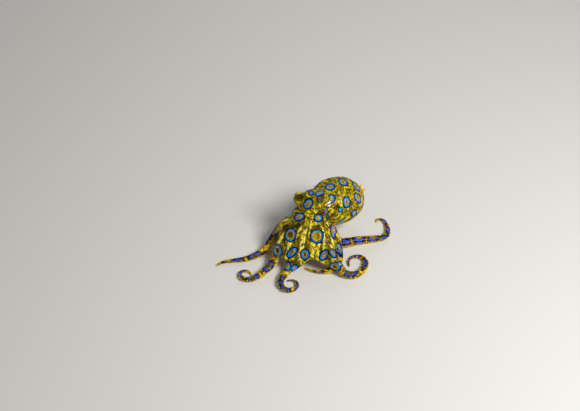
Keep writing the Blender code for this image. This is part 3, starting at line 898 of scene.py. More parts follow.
def oval(long: float, wide: float, angle: float) -> np.ndarray:
    """Return the matrix that turns the unit circle into an oval.

    Args:
        long: half its long side.
        wide: half its narrow side.
        angle: how far its long side is turned, in radians.

    Returns:
        A matrix of two rows and two columns.
    """
    ahead = np.array((math.cos(angle), math.sin(angle)))
    across = np.array((-math.sin(angle), math.cos(angle)))
    return np.column_stack((long * ahead, wide * across))


# The dark patches of the head and the flank: the column, the row and the reach in pixels. Those on the head
# and the siphon are the skin's own olive; those on the flank by the right arms are painted shadow.
DARK_PATCHES_AND_FLANK_SHADOW = (
    (322.0, 198.5, 7.0), (298.0, 195.5, 5.0), (332.5, 213.0, 3.2), (296.0, 224.0, 4.5),
    (272.0, 238.0, 9.0), (284.0, 226.0, 6.0), (290.0, 212.5, 4.0),
)


@dataclass(frozen=True)
class Spot:
    """A ring laid on the skin round one of its corners.

    shape turns a place spread flat round the middle, in mm, into parts of the ring's half sides, and
    slip is what it gives for the middle itself.
    """

    part: Part
    corner: int
    facing: np.ndarray
    shape: np.ndarray
    slip: np.ndarray
    mark: Mark

    def reach(self) -> float:
        """Return the ring's half length in mm."""
        return 1.0 / float(np.linalg.svd(self.shape)[1].min())

    def least_half(self) -> float:
        """Return half of the ring's narrow side in mm."""
        return 1.0 / float(np.linalg.svd(self.shape)[1].max())


@dataclass(frozen=True)
class Fades:
    """Where the skin's regions fade into each other: the last of one and the first of the next.

    They are distances in mm, apart from levels, which are parts of an arm's or the mantle's radius,
    and facings, which are cosines.
    """

    arm_level: Pair = (1.15, 1.6)
    arm_root: Pair = (2.0, 6.0)
    bare_arm: Pair = (-5.0, 3.0)
    crown_height: Pair = (2.0, 6.0)
    crown_middle: Pair = (2.0, 5.0)
    underside_facing: Pair = (-0.05, 0.55)
    mantle_level: Pair = (1.04, 1.14)
    belly_facing: Pair = (0.4, 1.0)
    mouth_facing: Pair = (0.0, 0.4)
    gullet: Pair = (0.9, 1.5)
    skirt_length: Pair = (18.0, 26.0)
    skirt_middle: Pair = (3.0, 6.0)
    mantle_tip: Pair = (0.2, 1.2)
    rings_end: Pair = (0.4, 0.9)
    dark_and_shadow_patch: Pair = (0.5, 1.15)


@dataclass(frozen=True)
class Softening:
    """How the skin is evened out, and where its sharper forms are kept, in mm."""

    even_passes: int = 24
    shrink: float = 0.55
    grow_back: float = -0.57
    soft_passes: int = 30
    pull: float = 0.5
    least: float = 0.12
    crown: Pair = (1.0, 5.0)
    eyes: Pair = (3.4, 5.0)
    siphon: Pair = (2.9, 4.6)
    mantle_tip: Pair = (3.0, 5.5)


@dataclass(frozen=True)
class Relief:
    """How high the forms of the skin's surface are, and how large, in mm."""

    swells: Pair = (0.20, 3.2)
    warts: Pair = (0.22, 1.9)
    wart_foot: float = 0.35
    wrinkles: Pair = (0.10, 0.9)
    ridges: float = 0.16
    skirt_grain: Pair = (0.10, 1.1)
    arm_grain: Pair = (0.10, 0.9)
    body: Pair = (0.0, 5.0)
    eyes: Pair = (2.4, 4.2)
    least_height: float = 0.03


@dataclass(frozen=True)
class RingRules:
    """How rings are laid on the skin and spread over its unseen sides.

    Lengths are mm, facings are cosines and turns are degrees.
    """

    smoothing: int = 6
    body_facing: float = 0.05
    arm_facing: float = 0.15
    arm_level: float = 1.5
    arm_from: float = 12.0
    close_pixels: float = 1.2
    spare_pixels: float = 0.4
    front_depth: float = 3.0
    worst_pixels: float = 2.0
    edge_pixels: float = 1.8
    fit_facing: float = 0.08
    mark_depth: float = 4.0
    least_mark: float = 0.9
    least_pixels_per_mm: float = 0.7
    seed: int = 9
    most_reach: float = 4.0
    tries: int = 6000
    body_size: Pair = (1.7, 2.9)
    body_gap: float = 1.7
    hidden_margin: float = 0.8
    from_eyes: float = 4.6
    first_on_arm: float = 15.0
    last_on_arm: float = 1.5
    step_on_arm: float = 4.3
    arm_turn: float = 30.0
    arm_size: Pair = (0.85, 1.1)
    arm_gap: float = 0.6
    narrowness: Pair = (0.62, 0.92)
    heart: Pair = (0.2, 0.8)
    far: float = 4.0
    paint_reach: float = 4.5
    paint_facing: float = -0.2
    thinnest: Pair = (0.55, 1.0)
    arm_glow: float = 0.7
    gap_softness: float = 14.0


@dataclass
class Skin:
    """The whole skin, grown together from arms, webs, head, siphon and mantle."""

    paths: dict[Part, ArmPath]
    crown: Crown = field(default_factory=Crown)
    head: Head = field(default_factory=Head)
    mantle: Mantle = field(default_factory=Mantle)
    lid: Lid = field(default_factory=Lid)
    view: PhotoView = field(default_factory=PhotoView)
    fades: Fades = field(default_factory=Fades)
    softening: Softening = field(default_factory=Softening)
    heights: Relief = field(default_factory=Relief)
    rules: RingRules = field(default_factory=RingRules)
    voxel: float = 0.37
    arm_sides: int = 24
    arm_step: float = 0.7
    web_columns: int = 25
    web_rows: int = 28
    web_thickness: float = 1.0
    web_top: float = 2.6
    web_shift: float = 0.5
    web_fullest_at: float = 2.0 / 3.0
    lip_offset: float = 2.0
    mouth_radius: float = 5.5
    mouth_depth: float = 2.5
    ridge_count: float = 11.0
    ridge_wander: float = 0.17
    ridge_steepness: float = 2.2
    belly_pale: float = 0.3

    def sources(self) -> Patchwork:
        """Return every form that the skin grows from.

        Returns:
            Closed pieces that run into each other.
        """
        made = Patchwork()
        angles = circle(self.arm_sides)
        for path in self.paths.values():
            places = np.linspace(0.0, path.length, int(path.length / self.arm_step))
            rings = np.array([path.surface(along, angles) for along in places])
            tip = path.centre[-1] + path.ahead[-1] * self.crown.tip_radius
            made.sweep(rings, path.centre[0], tip)
        for web in WEBS:
            self.add_web(made, web)
        self.head.add_to(made)
        self.head.add_siphon_to(made)
        for which in (0, 1):
            self.lid.add_to(made, self.head, which)
        self.mantle.add_to(made)
        self.add_lips(made)
        return made

    def add_lips(self, made: Patchwork) -> None:
        """Add the round lips of the mouth, in the middle of the crown.

        Args:
            made: the mesh that they are added to.
        """
        axis = self.crown.directions()[0]
        mouth = np.asarray(self.crown.mouth) + axis * self.lip_offset
        lips = (
            (-2.0, 0.0), (-2.0, 3.1), (0.3, 3.3), (1.1, 3.0), (1.6, 2.5), (1.7, 2.0), (1.3, 1.5),
            (0.4, 1.2), (-1.0, 1.0), (-1.0, 0.0),
        )
        made.turn(lips, mouth, axis, 32)

    def add_web(self, made: Patchwork, web: Web) -> None:
        """Add the sheet between two arms.

        Args:
            made: the mesh that it is added to.
            web: the sheet.
        """
        across = np.linspace(0.0, 1.0, self.web_columns)
        rings = []
        for down in np.linspace(0.0, 1.0, self.web_rows):
            sides = {1.0: [], -1.0: []}
            for part in across:
                dip = web.arch * max(math.sin(math.pi * part), 0.0) ** web.hug
                ends = []
                for limb, reach in ((web.first, web.first_end), (web.second, web.second_end)):
                    path = self.paths[limb]
                    along = self.web_top + down * (reach - dip - self.web_top)
                    back = path.at(along, path.back)
                    shift = self.web_shift * path.at(along, path.radius)
                    ends.append((path.at(along, path.centre) + shift * back, back))
                point = ends[0][0] * (1.0 - part) + ends[1][0] * part
                out = unit(ends[0][1] + ends[1][1])
                fullness = math.sin(0.5 * math.pi * down / self.web_fullest_at) * math.sin(math.pi * part)
                point = point + out * web.bulge * fullness
                for which, side in sides.items():
                    side.append(point + out * 0.5 * self.web_thickness * which)
            rings.append(sides[1.0] + sides[-1.0][::-1])
        rings = np.array(rings)
        rows, columns = rings.shape[:2]
        faces = made.bands(rows, columns, False)
        for first in (0, (rows - 1) * columns):
            for k in range(self.web_columns - 1):
                across_from = first + columns - 1 - k
                faces.append((first + k, first + k + 1, across_from - 1, across_from))
        made.add(rings.reshape(-1, 3), faces)

    def grow(self) -> None:
        """Grow the forms together into one closed skin of even squares."""
        mesh = self.sources().mesh("skin_forms")
        forms = link_new("skin_forms", mesh)
        together = forms.modifiers.new("together", "REMESH")
        together.mode = "VOXEL"
        together.voxel_size = self.voxel
        depsgraph = bpy.context.evaluated_depsgraph_get()
        grown = bpy.data.meshes.new_from_object(forms.evaluated_get(depsgraph))
        self.points, self.quads = self.largest_shell(grown)
        bpy.data.objects.remove(forms)
        bpy.data.meshes.remove(mesh)
        bpy.data.meshes.remove(grown)
        pairs = np.concatenate([self.quads[:, [i, (i + 1) % 4]] for i in range(4)])
        self.edges = np.unique(np.sort(pairs, axis=1), axis=0)
        ends = np.bincount(self.edges.ravel(), minlength=len(self.points))
        self.neighbours = np.maximum(ends, 1)
        log.info("skin: %d corners, %d squares", len(self.points), len(self.quads))

    def largest_shell(self, mesh: Mesh) -> tuple[np.ndarray, np.ndarray]:
        """Return the largest connected surface of a mesh.

        Args:
            mesh: a mesh of squares.

        Returns:
            The surface's corners and its squares.
        """
        points = np.empty(len(mesh.vertices) * 3)
        mesh.vertices.foreach_get("co", points)
        points = points.reshape(-1, 3)
        loops = np.empty(len(mesh.loops), dtype=np.int64)
        mesh.loops.foreach_get("vertex_index", loops)
        quads = loops.reshape(-1, 4)
        label = np.arange(len(points))
        while True:
            lowest = label[quads].min(axis=1)
            after = label.copy()
            for k in range(4):
                np.minimum.at(after, quads[:, k], lowest)
            after = after[after]
            if np.array_equal(after, label):
                break
            label = after
        kept = label == np.bincount(label).argmax()
        number = np.cumsum(kept) - 1
        return points[kept], number[quads[kept[quads[:, 0]]]]

    def around(self, values: np.ndarray) -> np.ndarray:
        """Return the mean of each corner's neighbours.

        Args:
            values: a number or a row for each corner.

        Returns:
            As many numbers or rows.
        """
        columns = values.reshape(len(values), -1)
        first, second = self.edges.T
        total = np.empty_like(columns)
        for k in range(columns.shape[1]):
            total[:, k] = np.bincount(first, columns[second, k], len(columns))
            total[:, k] += np.bincount(second, columns[first, k], len(columns))
        return (total / self.neighbours[:, None]).reshape(values.shape)

    def from_eyes(self) -> np.ndarray:
        """Return how far each corner lies from the middle of the nearer eye."""
        away = [from_point(self.points, self.head.eye_centre(which)) for which in (0, 1)]
        return np.minimum(*away)

    def face_out(self) -> np.ndarray:
        """Return the skin's direction outwards.

        Returns:
            A direction for each corner.
        """
        a, b, c, d = (self.points[self.quads[:, k]] for k in range(4))
        across = np.cross(c - a, d - b)
        total = np.zeros_like(self.points)
        for k in range(4):
            for i in range(3):
                total[:, i] += np.bincount(self.quads[:, k], across[:, i], len(self.points))
        return unit_rows(total)

    def soften(self) -> None:
        """Take the steps out of the skin, and draw its hollows together between head and mantle."""
        plan = self.softening
        for k in range(plan.even_passes):
            pull = plan.shrink if k % 2 == 0 else plan.grow_back
            self.points = self.points + pull * (self.around(self.points) - self.points)
        axis = self.crown.directions()[0]
        above = -(self.points - np.asarray(self.crown.mouth)) @ axis
        weight = rise(above, *plan.crown) * rise(self.from_eyes(), *plan.eyes)
        weight *= rise(self.head.from_siphon(self.points), *plan.siphon)
        weight *= rise(from_point(self.points, self.mantle.tip()[0]), *plan.mantle_tip)
        weight = plan.pull * np.maximum(weight, plan.least)[:, None]
        for _ in range(plan.soft_passes):
            self.points = self.points + weight * (self.around(self.points) - self.points)

    def locate(self) -> None:
        """Find each corner's place on the nearest arm: how far along, how far round and how near."""
        limbs = list(self.paths)
        tree = kdtree.KDTree(sum(len(path.along) for path in self.paths.values()))
        owner = []
        for number, limb in enumerate(limbs):
            for k, centre in enumerate(self.paths[limb].centre):
                tree.insert(centre, len(owner))
                owner.append((number, k))
        tree.balance()
        found = np.array([owner[tree.find(point)[1]] for point in self.points])
        self.limb = found[:, 0]
        self.along = np.zeros(len(self.points))
        self.turn = np.zeros(len(self.points))
        self.level = np.zeros(len(self.points))
        self.radius = np.zeros(len(self.points))
        self.spine = np.zeros_like(self.points)
        self.back = np.zeros_like(self.points)
        for number, limb in enumerate(limbs):
            path = self.paths[limb]
            mine = np.nonzero(self.limb == number)[0]
            step = found[mine, 1]
            offset = self.points[mine] - path.centre[step]
            ahead = path.ahead[step]
            extra = np.sum(offset * ahead, axis=1)
            along = path.along[step] + extra
            centre = path.centre[step] + extra[:, None] * ahead
            radius = self.crown.arm_radius(along / path.length)
            wide = self.crown.wide(along, radius)
            offset = self.points[mine] - centre
            x = np.sum(offset * path.side[step], axis=1) / wide
            y = np.sum(offset * path.back[step], axis=1) / radius
            y = np.where(y < 0.0, y / self.crown.underside, y)
            self.along[mine] = along
            self.turn[mine] = np.arctan2(x, y)
            self.level[mine] = np.hypot(x, y)
            self.radius[mine] = radius
            self.spine[mine] = centre
            self.back[mine] = path.back[step]
        self.limbs = limbs

    def settle(self) -> None:
        """Set the corners that lie close to a bare length of arm exactly on its round section."""
        near = 1.0 - rise(np.abs(self.level - 1.0), 0.12, 0.3)
        lengths = np.array([self.paths[limb].length for limb in self.limbs])[self.limb]
        ends = web_reach(self.limbs)[self.limb]
        near *= rise(self.along - ends, 0.0, 4.0) * (self.along < lengths - 0.3)
        offset = self.points - self.spine
        target = self.spine + offset / np.maximum(self.level, 0.2)[:, None]
        self.points = self.points + near[:, None] * (target - self.points)

    def regions(self) -> None:
        """Weigh for each corner how much it belongs to arms, web, head and pale underside."""
        out = self.face_out()
        fades = self.fades
        axis, left, front = self.crown.directions()
        away = self.points - np.asarray(self.crown.mouth)
        self.above = -away @ axis
        on_arm = (1.0 - rise(self.level, *fades.arm_level)) * rise(self.along, *fades.arm_root)
        past_web = self.along - web_reach(self.limbs)[self.limb]
        self.out_on_arm = rise(past_web, *fades.bare_arm) * on_arm
        crown_part = 1.0 - rise(self.above, *fades.crown_height)
        beyond = np.linalg.norm(away + self.above[:, None] * axis, axis=1)
        facing_in = -np.sum(out * self.back, axis=1)
        under = rise(facing_in, *fades.underside_facing) * crown_part
        under *= rise(beyond, *fades.crown_middle)
        self.on_mantle = 1.0 - rise(self.mantle.nearness(self.points), *fades.mantle_level)
        belly = np.maximum(self.on_mantle, 1.0 - crown_part)
        paler = self.belly_pale * rise(-out[:, 2], *fades.belly_facing)
        under = np.maximum(under * (1.0 - belly), paler * belly)
        inside = (beyond < self.mouth_radius) & (self.above < self.mouth_depth)
        under = np.where(inside, np.maximum(under, rise(out @ axis, *fades.mouth_facing)), under)
        self.gullet = (1.0 - rise(beyond, *fades.gullet)) * inside
        self.under = under * (1.0 - self.gullet)
        self.skirt = crown_part * (1.0 - self.under) * (1.0 - rise(self.along, *fades.skirt_length))
        self.skirt *= rise(beyond, *fades.skirt_middle)
        # Ridges run down the skirt; the material paints a highlight on their crests and shade in their
        # grooves.
        bearing = np.arctan2(away @ left, away @ front)
        ridged = (bearing * self.ridge_count, beyond * self.ridge_wander, np.zeros_like(beyond))
        steep = self.ridge_steepness * grain(np.stack(ridged, axis=1), 1.0, 3.0)
        self.ridges_and_sheen = self.skirt * np.clip(steep, -1.0, 1.0)
        tip, ahead = self.mantle.tip()
        self.spike = rise((self.points - tip) @ ahead, *fades.mantle_tip)

    def relief(self) -> None:
        """Raise warts, wrinkles and the pointed edges of the arms on the skin."""
        out = self.face_out()
        plan = self.heights
        body = rise(self.above, *plan.body) * (1.0 - self.spike) * rise(self.from_eyes(), *plan.eyes)
        high, size = plan.warts
        lift = body * high * (warts(self.points, size, 2.0) - plan.wart_foot)
        lift += plan.ridges * self.ridges_and_sheen
        arm = self.out_on_arm * (1.0 - 0.6 * self.under)
        for seed, weight, (high, size) in (
            (1.0, body, plan.swells),
            (4.0, body, plan.wrinkles),
            (5.0, self.skirt, plan.skirt_grain),
            (6.0, arm, plan.arm_grain),
        ):
            lift += weight * high * grain(self.points, size, seed)
        self.points = self.points + lift[:, None] * out
        self.points[:, 2] = np.maximum(self.points[:, 2], plan.least_height)

    def spots(self) -> list[Spot]:
        """Find the places of all rings.

        Returns:
            Those of the photograph, and those that cover the sides it doesn't show.
        """
        out = self.face_out()
        for _ in range(self.rules.smoothing):
            out = unit_rows(self.around(out))
        self.pixels = self.view.project(self.points)
        rays = unit_rows(self.points - self.view.place())
        self.towards = -np.sum(rays * out, axis=1)
        found = []
        for part, marks in MARKS.items():
            for mark in marks:
                corner = self.corner_at(part, mark)
                found.append(self.seen_spot(part, corner, out[corner], mark))
        added = Unseen(
            self,
            out,
            np.random.default_rng(self.rules.seed),
            [self.points[spot.corner] for spot in found],
            [min(spot.reach(), self.rules.most_reach) for spot in found],
        )
        added.on_body()
        added.on_arms()
        log.info("rings: %d seen in the photograph, %d added", len(found), len(added.made))
        return found + added.made

    def corner_at(self, part: Part, mark: Mark) -> int:
        """Find where a ring of the photograph lies on the skin.

        Args:
            part: the region that the ring belongs to.
            mark: the ring as it was measured.

        Returns:
            The foremost corner of the region that is seen at the ring's middle.
        """
        rules = self.rules
        x, y, depth = self.pixels
        if part is Part.BODY:
            choice = (self.towards > rules.body_facing) & (self.out_on_arm < 0.9)
        else:
            choice = (self.towards > rules.arm_facing) & (self.limb == self.limbs.index(part))
            choice &= (self.level < rules.arm_level) & (self.along > rules.arm_from)
        choice = np.nonzero(choice)[0]
        away = np.hypot(x[choice] - mark.x, y[choice] - mark.y)
        close = choice[away < max(rules.close_pixels, away.min() + rules.spare_pixels)]
        front = close[depth[close] < depth[close].min() + rules.front_depth]
        away = np.hypot(x[front] - mark.x, y[front] - mark.y)
        if away.min() > rules.worst_pixels:
            log.info("%s: %.0f, %.0f is %.1f off", part.value, mark.x, mark.y, away.min())
        return int(front[away.argmin()])

    def spread_flat(
        self, part: Part, corner: int, facing: np.ndarray, near: np.ndarray
    ) -> np.ndarray:
        """Return where corners lie from a middle once the skin round it is spread flat.

        Args:
            part: the region, whose arms are spread along and across.
            corner: the skin's corner at the middle.
            facing: the skin's direction outwards there.
            near: the corners.

        Returns:
            Two distances in mm for each corner.
        """
        if part is not Part.BODY:
            turn = (self.turn[near] - self.turn[corner] + math.pi) % (2.0 * math.pi) - math.pi
            along = self.along[near] - self.along[corner]
            return np.stack((along, turn * self.radius[corner]), axis=1)
        offset = self.points[near] - self.points[corner]
        first, second = square_to(facing)
        flat = np.stack((offset @ first, offset @ second), axis=1)
        away = np.linalg.norm(offset, axis=1)
        return flat * (away / np.maximum(np.linalg.norm(flat, axis=1), 1e-6))[:, None]

    def seen_spot(self, part: Part, corner: int, facing: np.ndarray, mark: Mark) -> Spot:
        """Return a ring of the photograph laid on the skin, so that it looks as it was measured.

        Args:
            part: the region that the ring belongs to.
            corner: the skin's corner at its middle.
            facing: the skin's direction outwards there.
            mark: the ring as it was measured.

        Returns:
            The ring on the skin.
        """
        rules = self.rules
        x, y, depth = self.pixels
        near = np.hypot(x - mark.x, y - mark.y) < 0.5 * mark.long + rules.edge_pixels
        near &= self.towards > rules.fit_facing
        near &= np.abs(depth - depth[corner]) < rules.mark_depth
        if part is not Part.BODY:
            near &= self.limb == self.limbs.index(part)
            near &= np.abs(self.along - self.along[corner]) < rules.mark_depth * 2.0
        near = np.nonzero(near)[0]
        flat = self.spread_flat(part, corner, facing, near)
        known = np.column_stack((flat, np.ones(len(near))))
        seen = np.stack((x[near] - mark.x, mark.y - y[near]), axis=1)
        fit = np.linalg.lstsq(known, seen, rcond=None)[0]
        spin, size, turn = np.linalg.svd(fit[:2].T)
        to_pixels = spin @ np.diag(np.maximum(size, rules.least_pixels_per_mm)) @ turn
        wide = 0.5 * max(mark.wide, rules.least_mark)
        back = np.linalg.inv(oval(0.5 * mark.long, wide, math.radians(mark.tilt)))
        return Spot(part, corner, facing, back @ to_pixels, back @ fit[2], mark)

    def paint_rings(self) -> None:
        """Write at each corner how far it lies outside the line of the nearest ring."""
        rules = self.rules
        out = self.face_out()
        count = len(self.points)
        self.edge = np.full(count, rules.far)
        self.glow = np.ones(count)
        self.heart = np.zeros(count)
        for spot in self.spots():
            middle = self.points[spot.corner]
            near = from_point(self.points, middle) < spot.reach() + rules.paint_reach
            if spot.part is Part.BODY:
                near &= out @ spot.facing > rules.paint_facing
            else:
                near &= (self.limb == self.limbs.index(spot.part)) & (self.on_mantle < 0.5)
            near = np.nonzero(near)[0]
            flat = self.spread_flat(spot.part, spot.corner, spot.facing, near)
            self.paint_ring(spot, near, flat @ spot.shape.T + spot.slip)
        self.edge = self.edge + 1.5 * rules.far * rise(self.under, *self.fades.rings_end)

    def paint_ring(self, spot: Spot, near: np.ndarray, own: np.ndarray) -> None:
        """Paint one ring.

        Args:
            spot: the ring.
            near: the corners round it.
            own: where they lie from its middle, in parts of its half sides.
        """
        part = np.maximum(np.linalg.norm(own, axis=1), 1e-4)
        slope = np.linalg.norm(own @ spot.shape, axis=1) / part
        small = float(np.clip(spot.least_half(), *self.rules.thinnest))
        edge = (part - 1.0) / np.maximum(slope, 1e-4) / small
        if spot.mark.dot:
            edge = np.maximum(edge, -0.1)
        glow = np.full(len(near), spot.mark.glow)
        if spot.part is not Part.BODY:
            glow *= self.rules.arm_glow
        if spot.mark.gap is not None:
            bearing = np.degrees(np.arctan2(own[:, 1], own[:, 0]))
            turn = np.abs((bearing - (spot.mark.gap - spot.mark.tilt) + 180.0) % 360.0 - 180.0)
            soft = self.rules.gap_softness
            glow *= rise(turn, 0.5 * spot.mark.opening - soft, 0.5 * spot.mark.opening + soft)
        nearer = edge < self.edge[near]
        chosen = near[nearer]
        self.edge[chosen] = edge[nearer]
        self.glow[chosen] = glow[nearer]
        self.heart[chosen] = spot.mark.heart

    def shade(self) -> np.ndarray:
        """Return how far each corner lies in the gullet or in one of the dark patches, the head's own olive
        and painted shadow on the flank by the right arms.

        Returns:
            A number from 0 to 1 for each corner.
        """
        x, y, depth = self.view.project(self.points)
        dark = self.gullet.copy()
        # The patches on the flank by the right arms are painted shadow; the others are the skin's own dark
        # olive.
        for column, row, reach in DARK_PATCHES_AND_FLANK_SHADOW:
            choice = np.hypot(x - column, y - row) < 2.0
            front = self.points[choice][depth[choice].argmin()]
            away = from_point(self.points, front) / (reach * self.view.mm_per_pixel)
            away = away + 0.25 * grain(self.points, 1.6, 7.0)
            dark = np.maximum(dark, 1.0 - rise(away, *self.fades.dark_and_shadow_patch))
        return dark

    def build(self, material: Material) -> Object:
        """Grow, shape and paint the skin.

        Args:
            material: the skin's material.

        Returns:
            The object, in mm.
        """
        self.grow()
        self.soften()
        self.locate()
        self.settle()
        self.regions()
        self.paint_rings()
        dark = self.shade()
        self.relief()
        fields = {
            "edge": np.clip(self.edge, -self.rules.far, self.rules.far),
            "glow": self.glow,
            "heart": self.heart,
            "under": self.under,
            "ridges_and_sheen": self.ridges_and_sheen,
            "limb": self.out_on_arm,
            "spike": self.spike,
            "shade": dark,
        }
        skin = Patchwork([self.points], self.quads.tolist()).make("skin", fields)
        skin.data.materials.append(material)
        return skin


@dataclass
class Unseen:
    """The drawing of rings at random for the sides that the photograph doesn't show.

    middles and reaches are those of all rings so far, in mm.
    """

    skin: Skin
    out: np.ndarray
    draw: np.random.Generator
    middles: list[np.ndarray]
    reaches: list[float]
    made: list[Spot] = field(default_factory=list)

    def free(self, corner: int, size: float, gap: float) -> bool:
        """Return whether a ring round a corner would keep a gap from all the others."""
        away = from_point(np.array(self.middles), self.skin.points[corner])
        return not np.any(away < np.array(self.reaches) + size + gap)

    def add(self, part: Part, corner: int, size: float) -> None:
        """Add a ring of a shape and direction of its own.

        Args:
            part: the region that it belongs to.
            corner: the skin's corner at its middle.
            size: half its length in mm.
        """
        draw = self.draw.uniform
        rules = self.skin.rules
        angle = draw(0.0, math.pi) if part is Part.BODY else draw(-0.3, 0.3)
        wide = size * draw(*rules.narrowness)
        mark = Mark(0.0, 0.0, 0.0, 0.0, heart=draw(*rules.heart))
        shape = np.linalg.inv(oval(size, wide, angle))
        self.made.append(Spot(part, corner, self.out[corner], shape, np.zeros(2), mark))
        self.middles.append(self.skin.points[corner])
        self.reaches.append(size)

    def on_body(self) -> None:
        """Add rings on the unseen sides of the mantle, the head and the webs."""
        skin = self.skin
        rules = skin.rules
        hidden = (skin.towards < -0.1) & (skin.under < 0.25) & (skin.spike < 0.1)
        hidden &= (skin.out_on_arm < 0.2) & (self.out[:, 2] > -0.6)
        hidden &= skin.from_eyes() > rules.from_eyes
        for corner in self.draw.permutation(np.nonzero(hidden)[0])[: rules.tries]:
            size = self.draw.uniform(*rules.body_size)
            if self.free(corner, size, rules.body_gap):
                near = from_point(skin.points, skin.points[corner]) < size + rules.hidden_margin
                if skin.towards[near].max() <= 0.02:
                    self.add(Part.BODY, int(corner), size)

    def on_arms(self) -> None:
        """Add rings on the backs of the arms where the photograph doesn't show them."""
        skin = self.skin
        rules = skin.rules
        for number, limb in enumerate(skin.limbs):
            path = skin.paths[limb]
            mine = np.nonzero(skin.limb == number)[0]
            behind = limb in (Part.LEFT_4, Part.RIGHT_4)
            end = path.length - rules.last_on_arm
            for along in np.arange(rules.first_on_arm, end, rules.step_on_arm):
                turn = math.radians(self.draw.uniform(-rules.arm_turn, rules.arm_turn))
                place = path.surface(float(along), turn)[0]
                corner = int(mine[from_point(skin.points[mine], place).argmin()])
                size = 0.85 * float(path.at(along, path.radius)) * self.draw.uniform(*rules.arm_size)
                size += 0.15
                unseen = behind or skin.towards[corner] <= -0.05
                if unseen and self.free(corner, size, rules.arm_gap):
                    self.add(limb, corner, size)


def socket_of(sockets: Any, identifier: str) -> NodeSocket:
    """Return the socket with a given identifier."""
    return next(socket for socket in sockets if socket.identifier == identifier)


def fill(tree: NodeTree, socket: NodeSocket, value: Any) -> None:
    """Fill a node's input.

    Args:
        tree: the tree that it belongs to.
        socket: the input.
        value: a shade or an output, which is linked to it, or else a number, a name or a colour.
    """
    if isinstance(value, Shade):
        value = value.socket
    if isinstance(value, NodeSocket):
        tree.links.new(value, socket)
    elif isinstance(value, tuple) and socket.type == "RGBA":
        socket.default_value = (*value[:3], 1.0)
    else:
        socket.default_value = value


def add_node(tree: NodeTree, kind: str, settings: dict, inputs: dict) -> Node:
    """Add a node to a material's tree or a Geometry Nodes tree.

    Args:
        tree: the tree.
        kind: the node's type.
        settings: its own settings, which are set first.
        inputs: what fills its inputs, by name, number or identifier.

    Returns:
        The node.
    """
    made = tree.nodes.new(kind)
    for key, value in settings.items():
        setattr(made, key, value)
    for key, value in inputs.items():
        known = not isinstance(key, str) or key in made.inputs
        fill(tree, made.inputs[key] if known else socket_of(made.inputs, key), value)
    return made


class Shade:
    """A value or colour in a shader tree, whose arithmetic adds the nodes that work it out."""

    def __init__(self, tree: "Tree", socket: NodeSocket) -> None:
        """Wrap an output socket."""
        self.tree = tree
        self.socket = socket

    def reckon(self, operation: str, first: Any, second: Any) -> "Shade":
        """Return the result of a Math node."""
        settings = {"operation": operation}
        return self.tree.node("ShaderNodeMath", settings, {0: first, 1: second})

    def __add__(self, other: Any) -> "Shade":
        """Return a sum."""
        return self.reckon("ADD", self, other)

    __radd__ = __add__

    def __sub__(self, other: Any) -> "Shade":
        """Return a difference."""
        return self.reckon("SUBTRACT", self, other)

    def __rsub__(self, other: Any) -> "Shade":
        """Return a difference from a number."""
        return self.reckon("SUBTRACT", other, self)

    def __mul__(self, other: Any) -> "Shade":
        """Return a product."""
        return self.reckon("MULTIPLY", self, other)

    __rmul__ = __mul__

    def size(self) -> "Shade":
        """Return the value without its sign."""
        return self.reckon("ABSOLUTE", self, 0.0)

    def most(self, other: Any) -> "Shade":
        """Return the larger of two values."""
        return self.reckon("MAXIMUM", self, other)

    def rise(self, low: float, high: float, start: float = 0.0) -> "Shade":
        """Return a smooth change from start to its opposite as the value goes from low to high."""
        values = {"Value": self, "From Min": low, "From Max": high}
        values.update({"To Min": start, "To Max": 1.0 - start})
        return self.tree.node("ShaderNodeMapRange", {"interpolation_type": "SMOOTHSTEP"}, values)

    def fall(self, low: float, high: float) -> "Shade":
        """Return a smooth fall from 1 to 0 as the value goes from low to high."""
        return self.rise(low, high, 1.0)


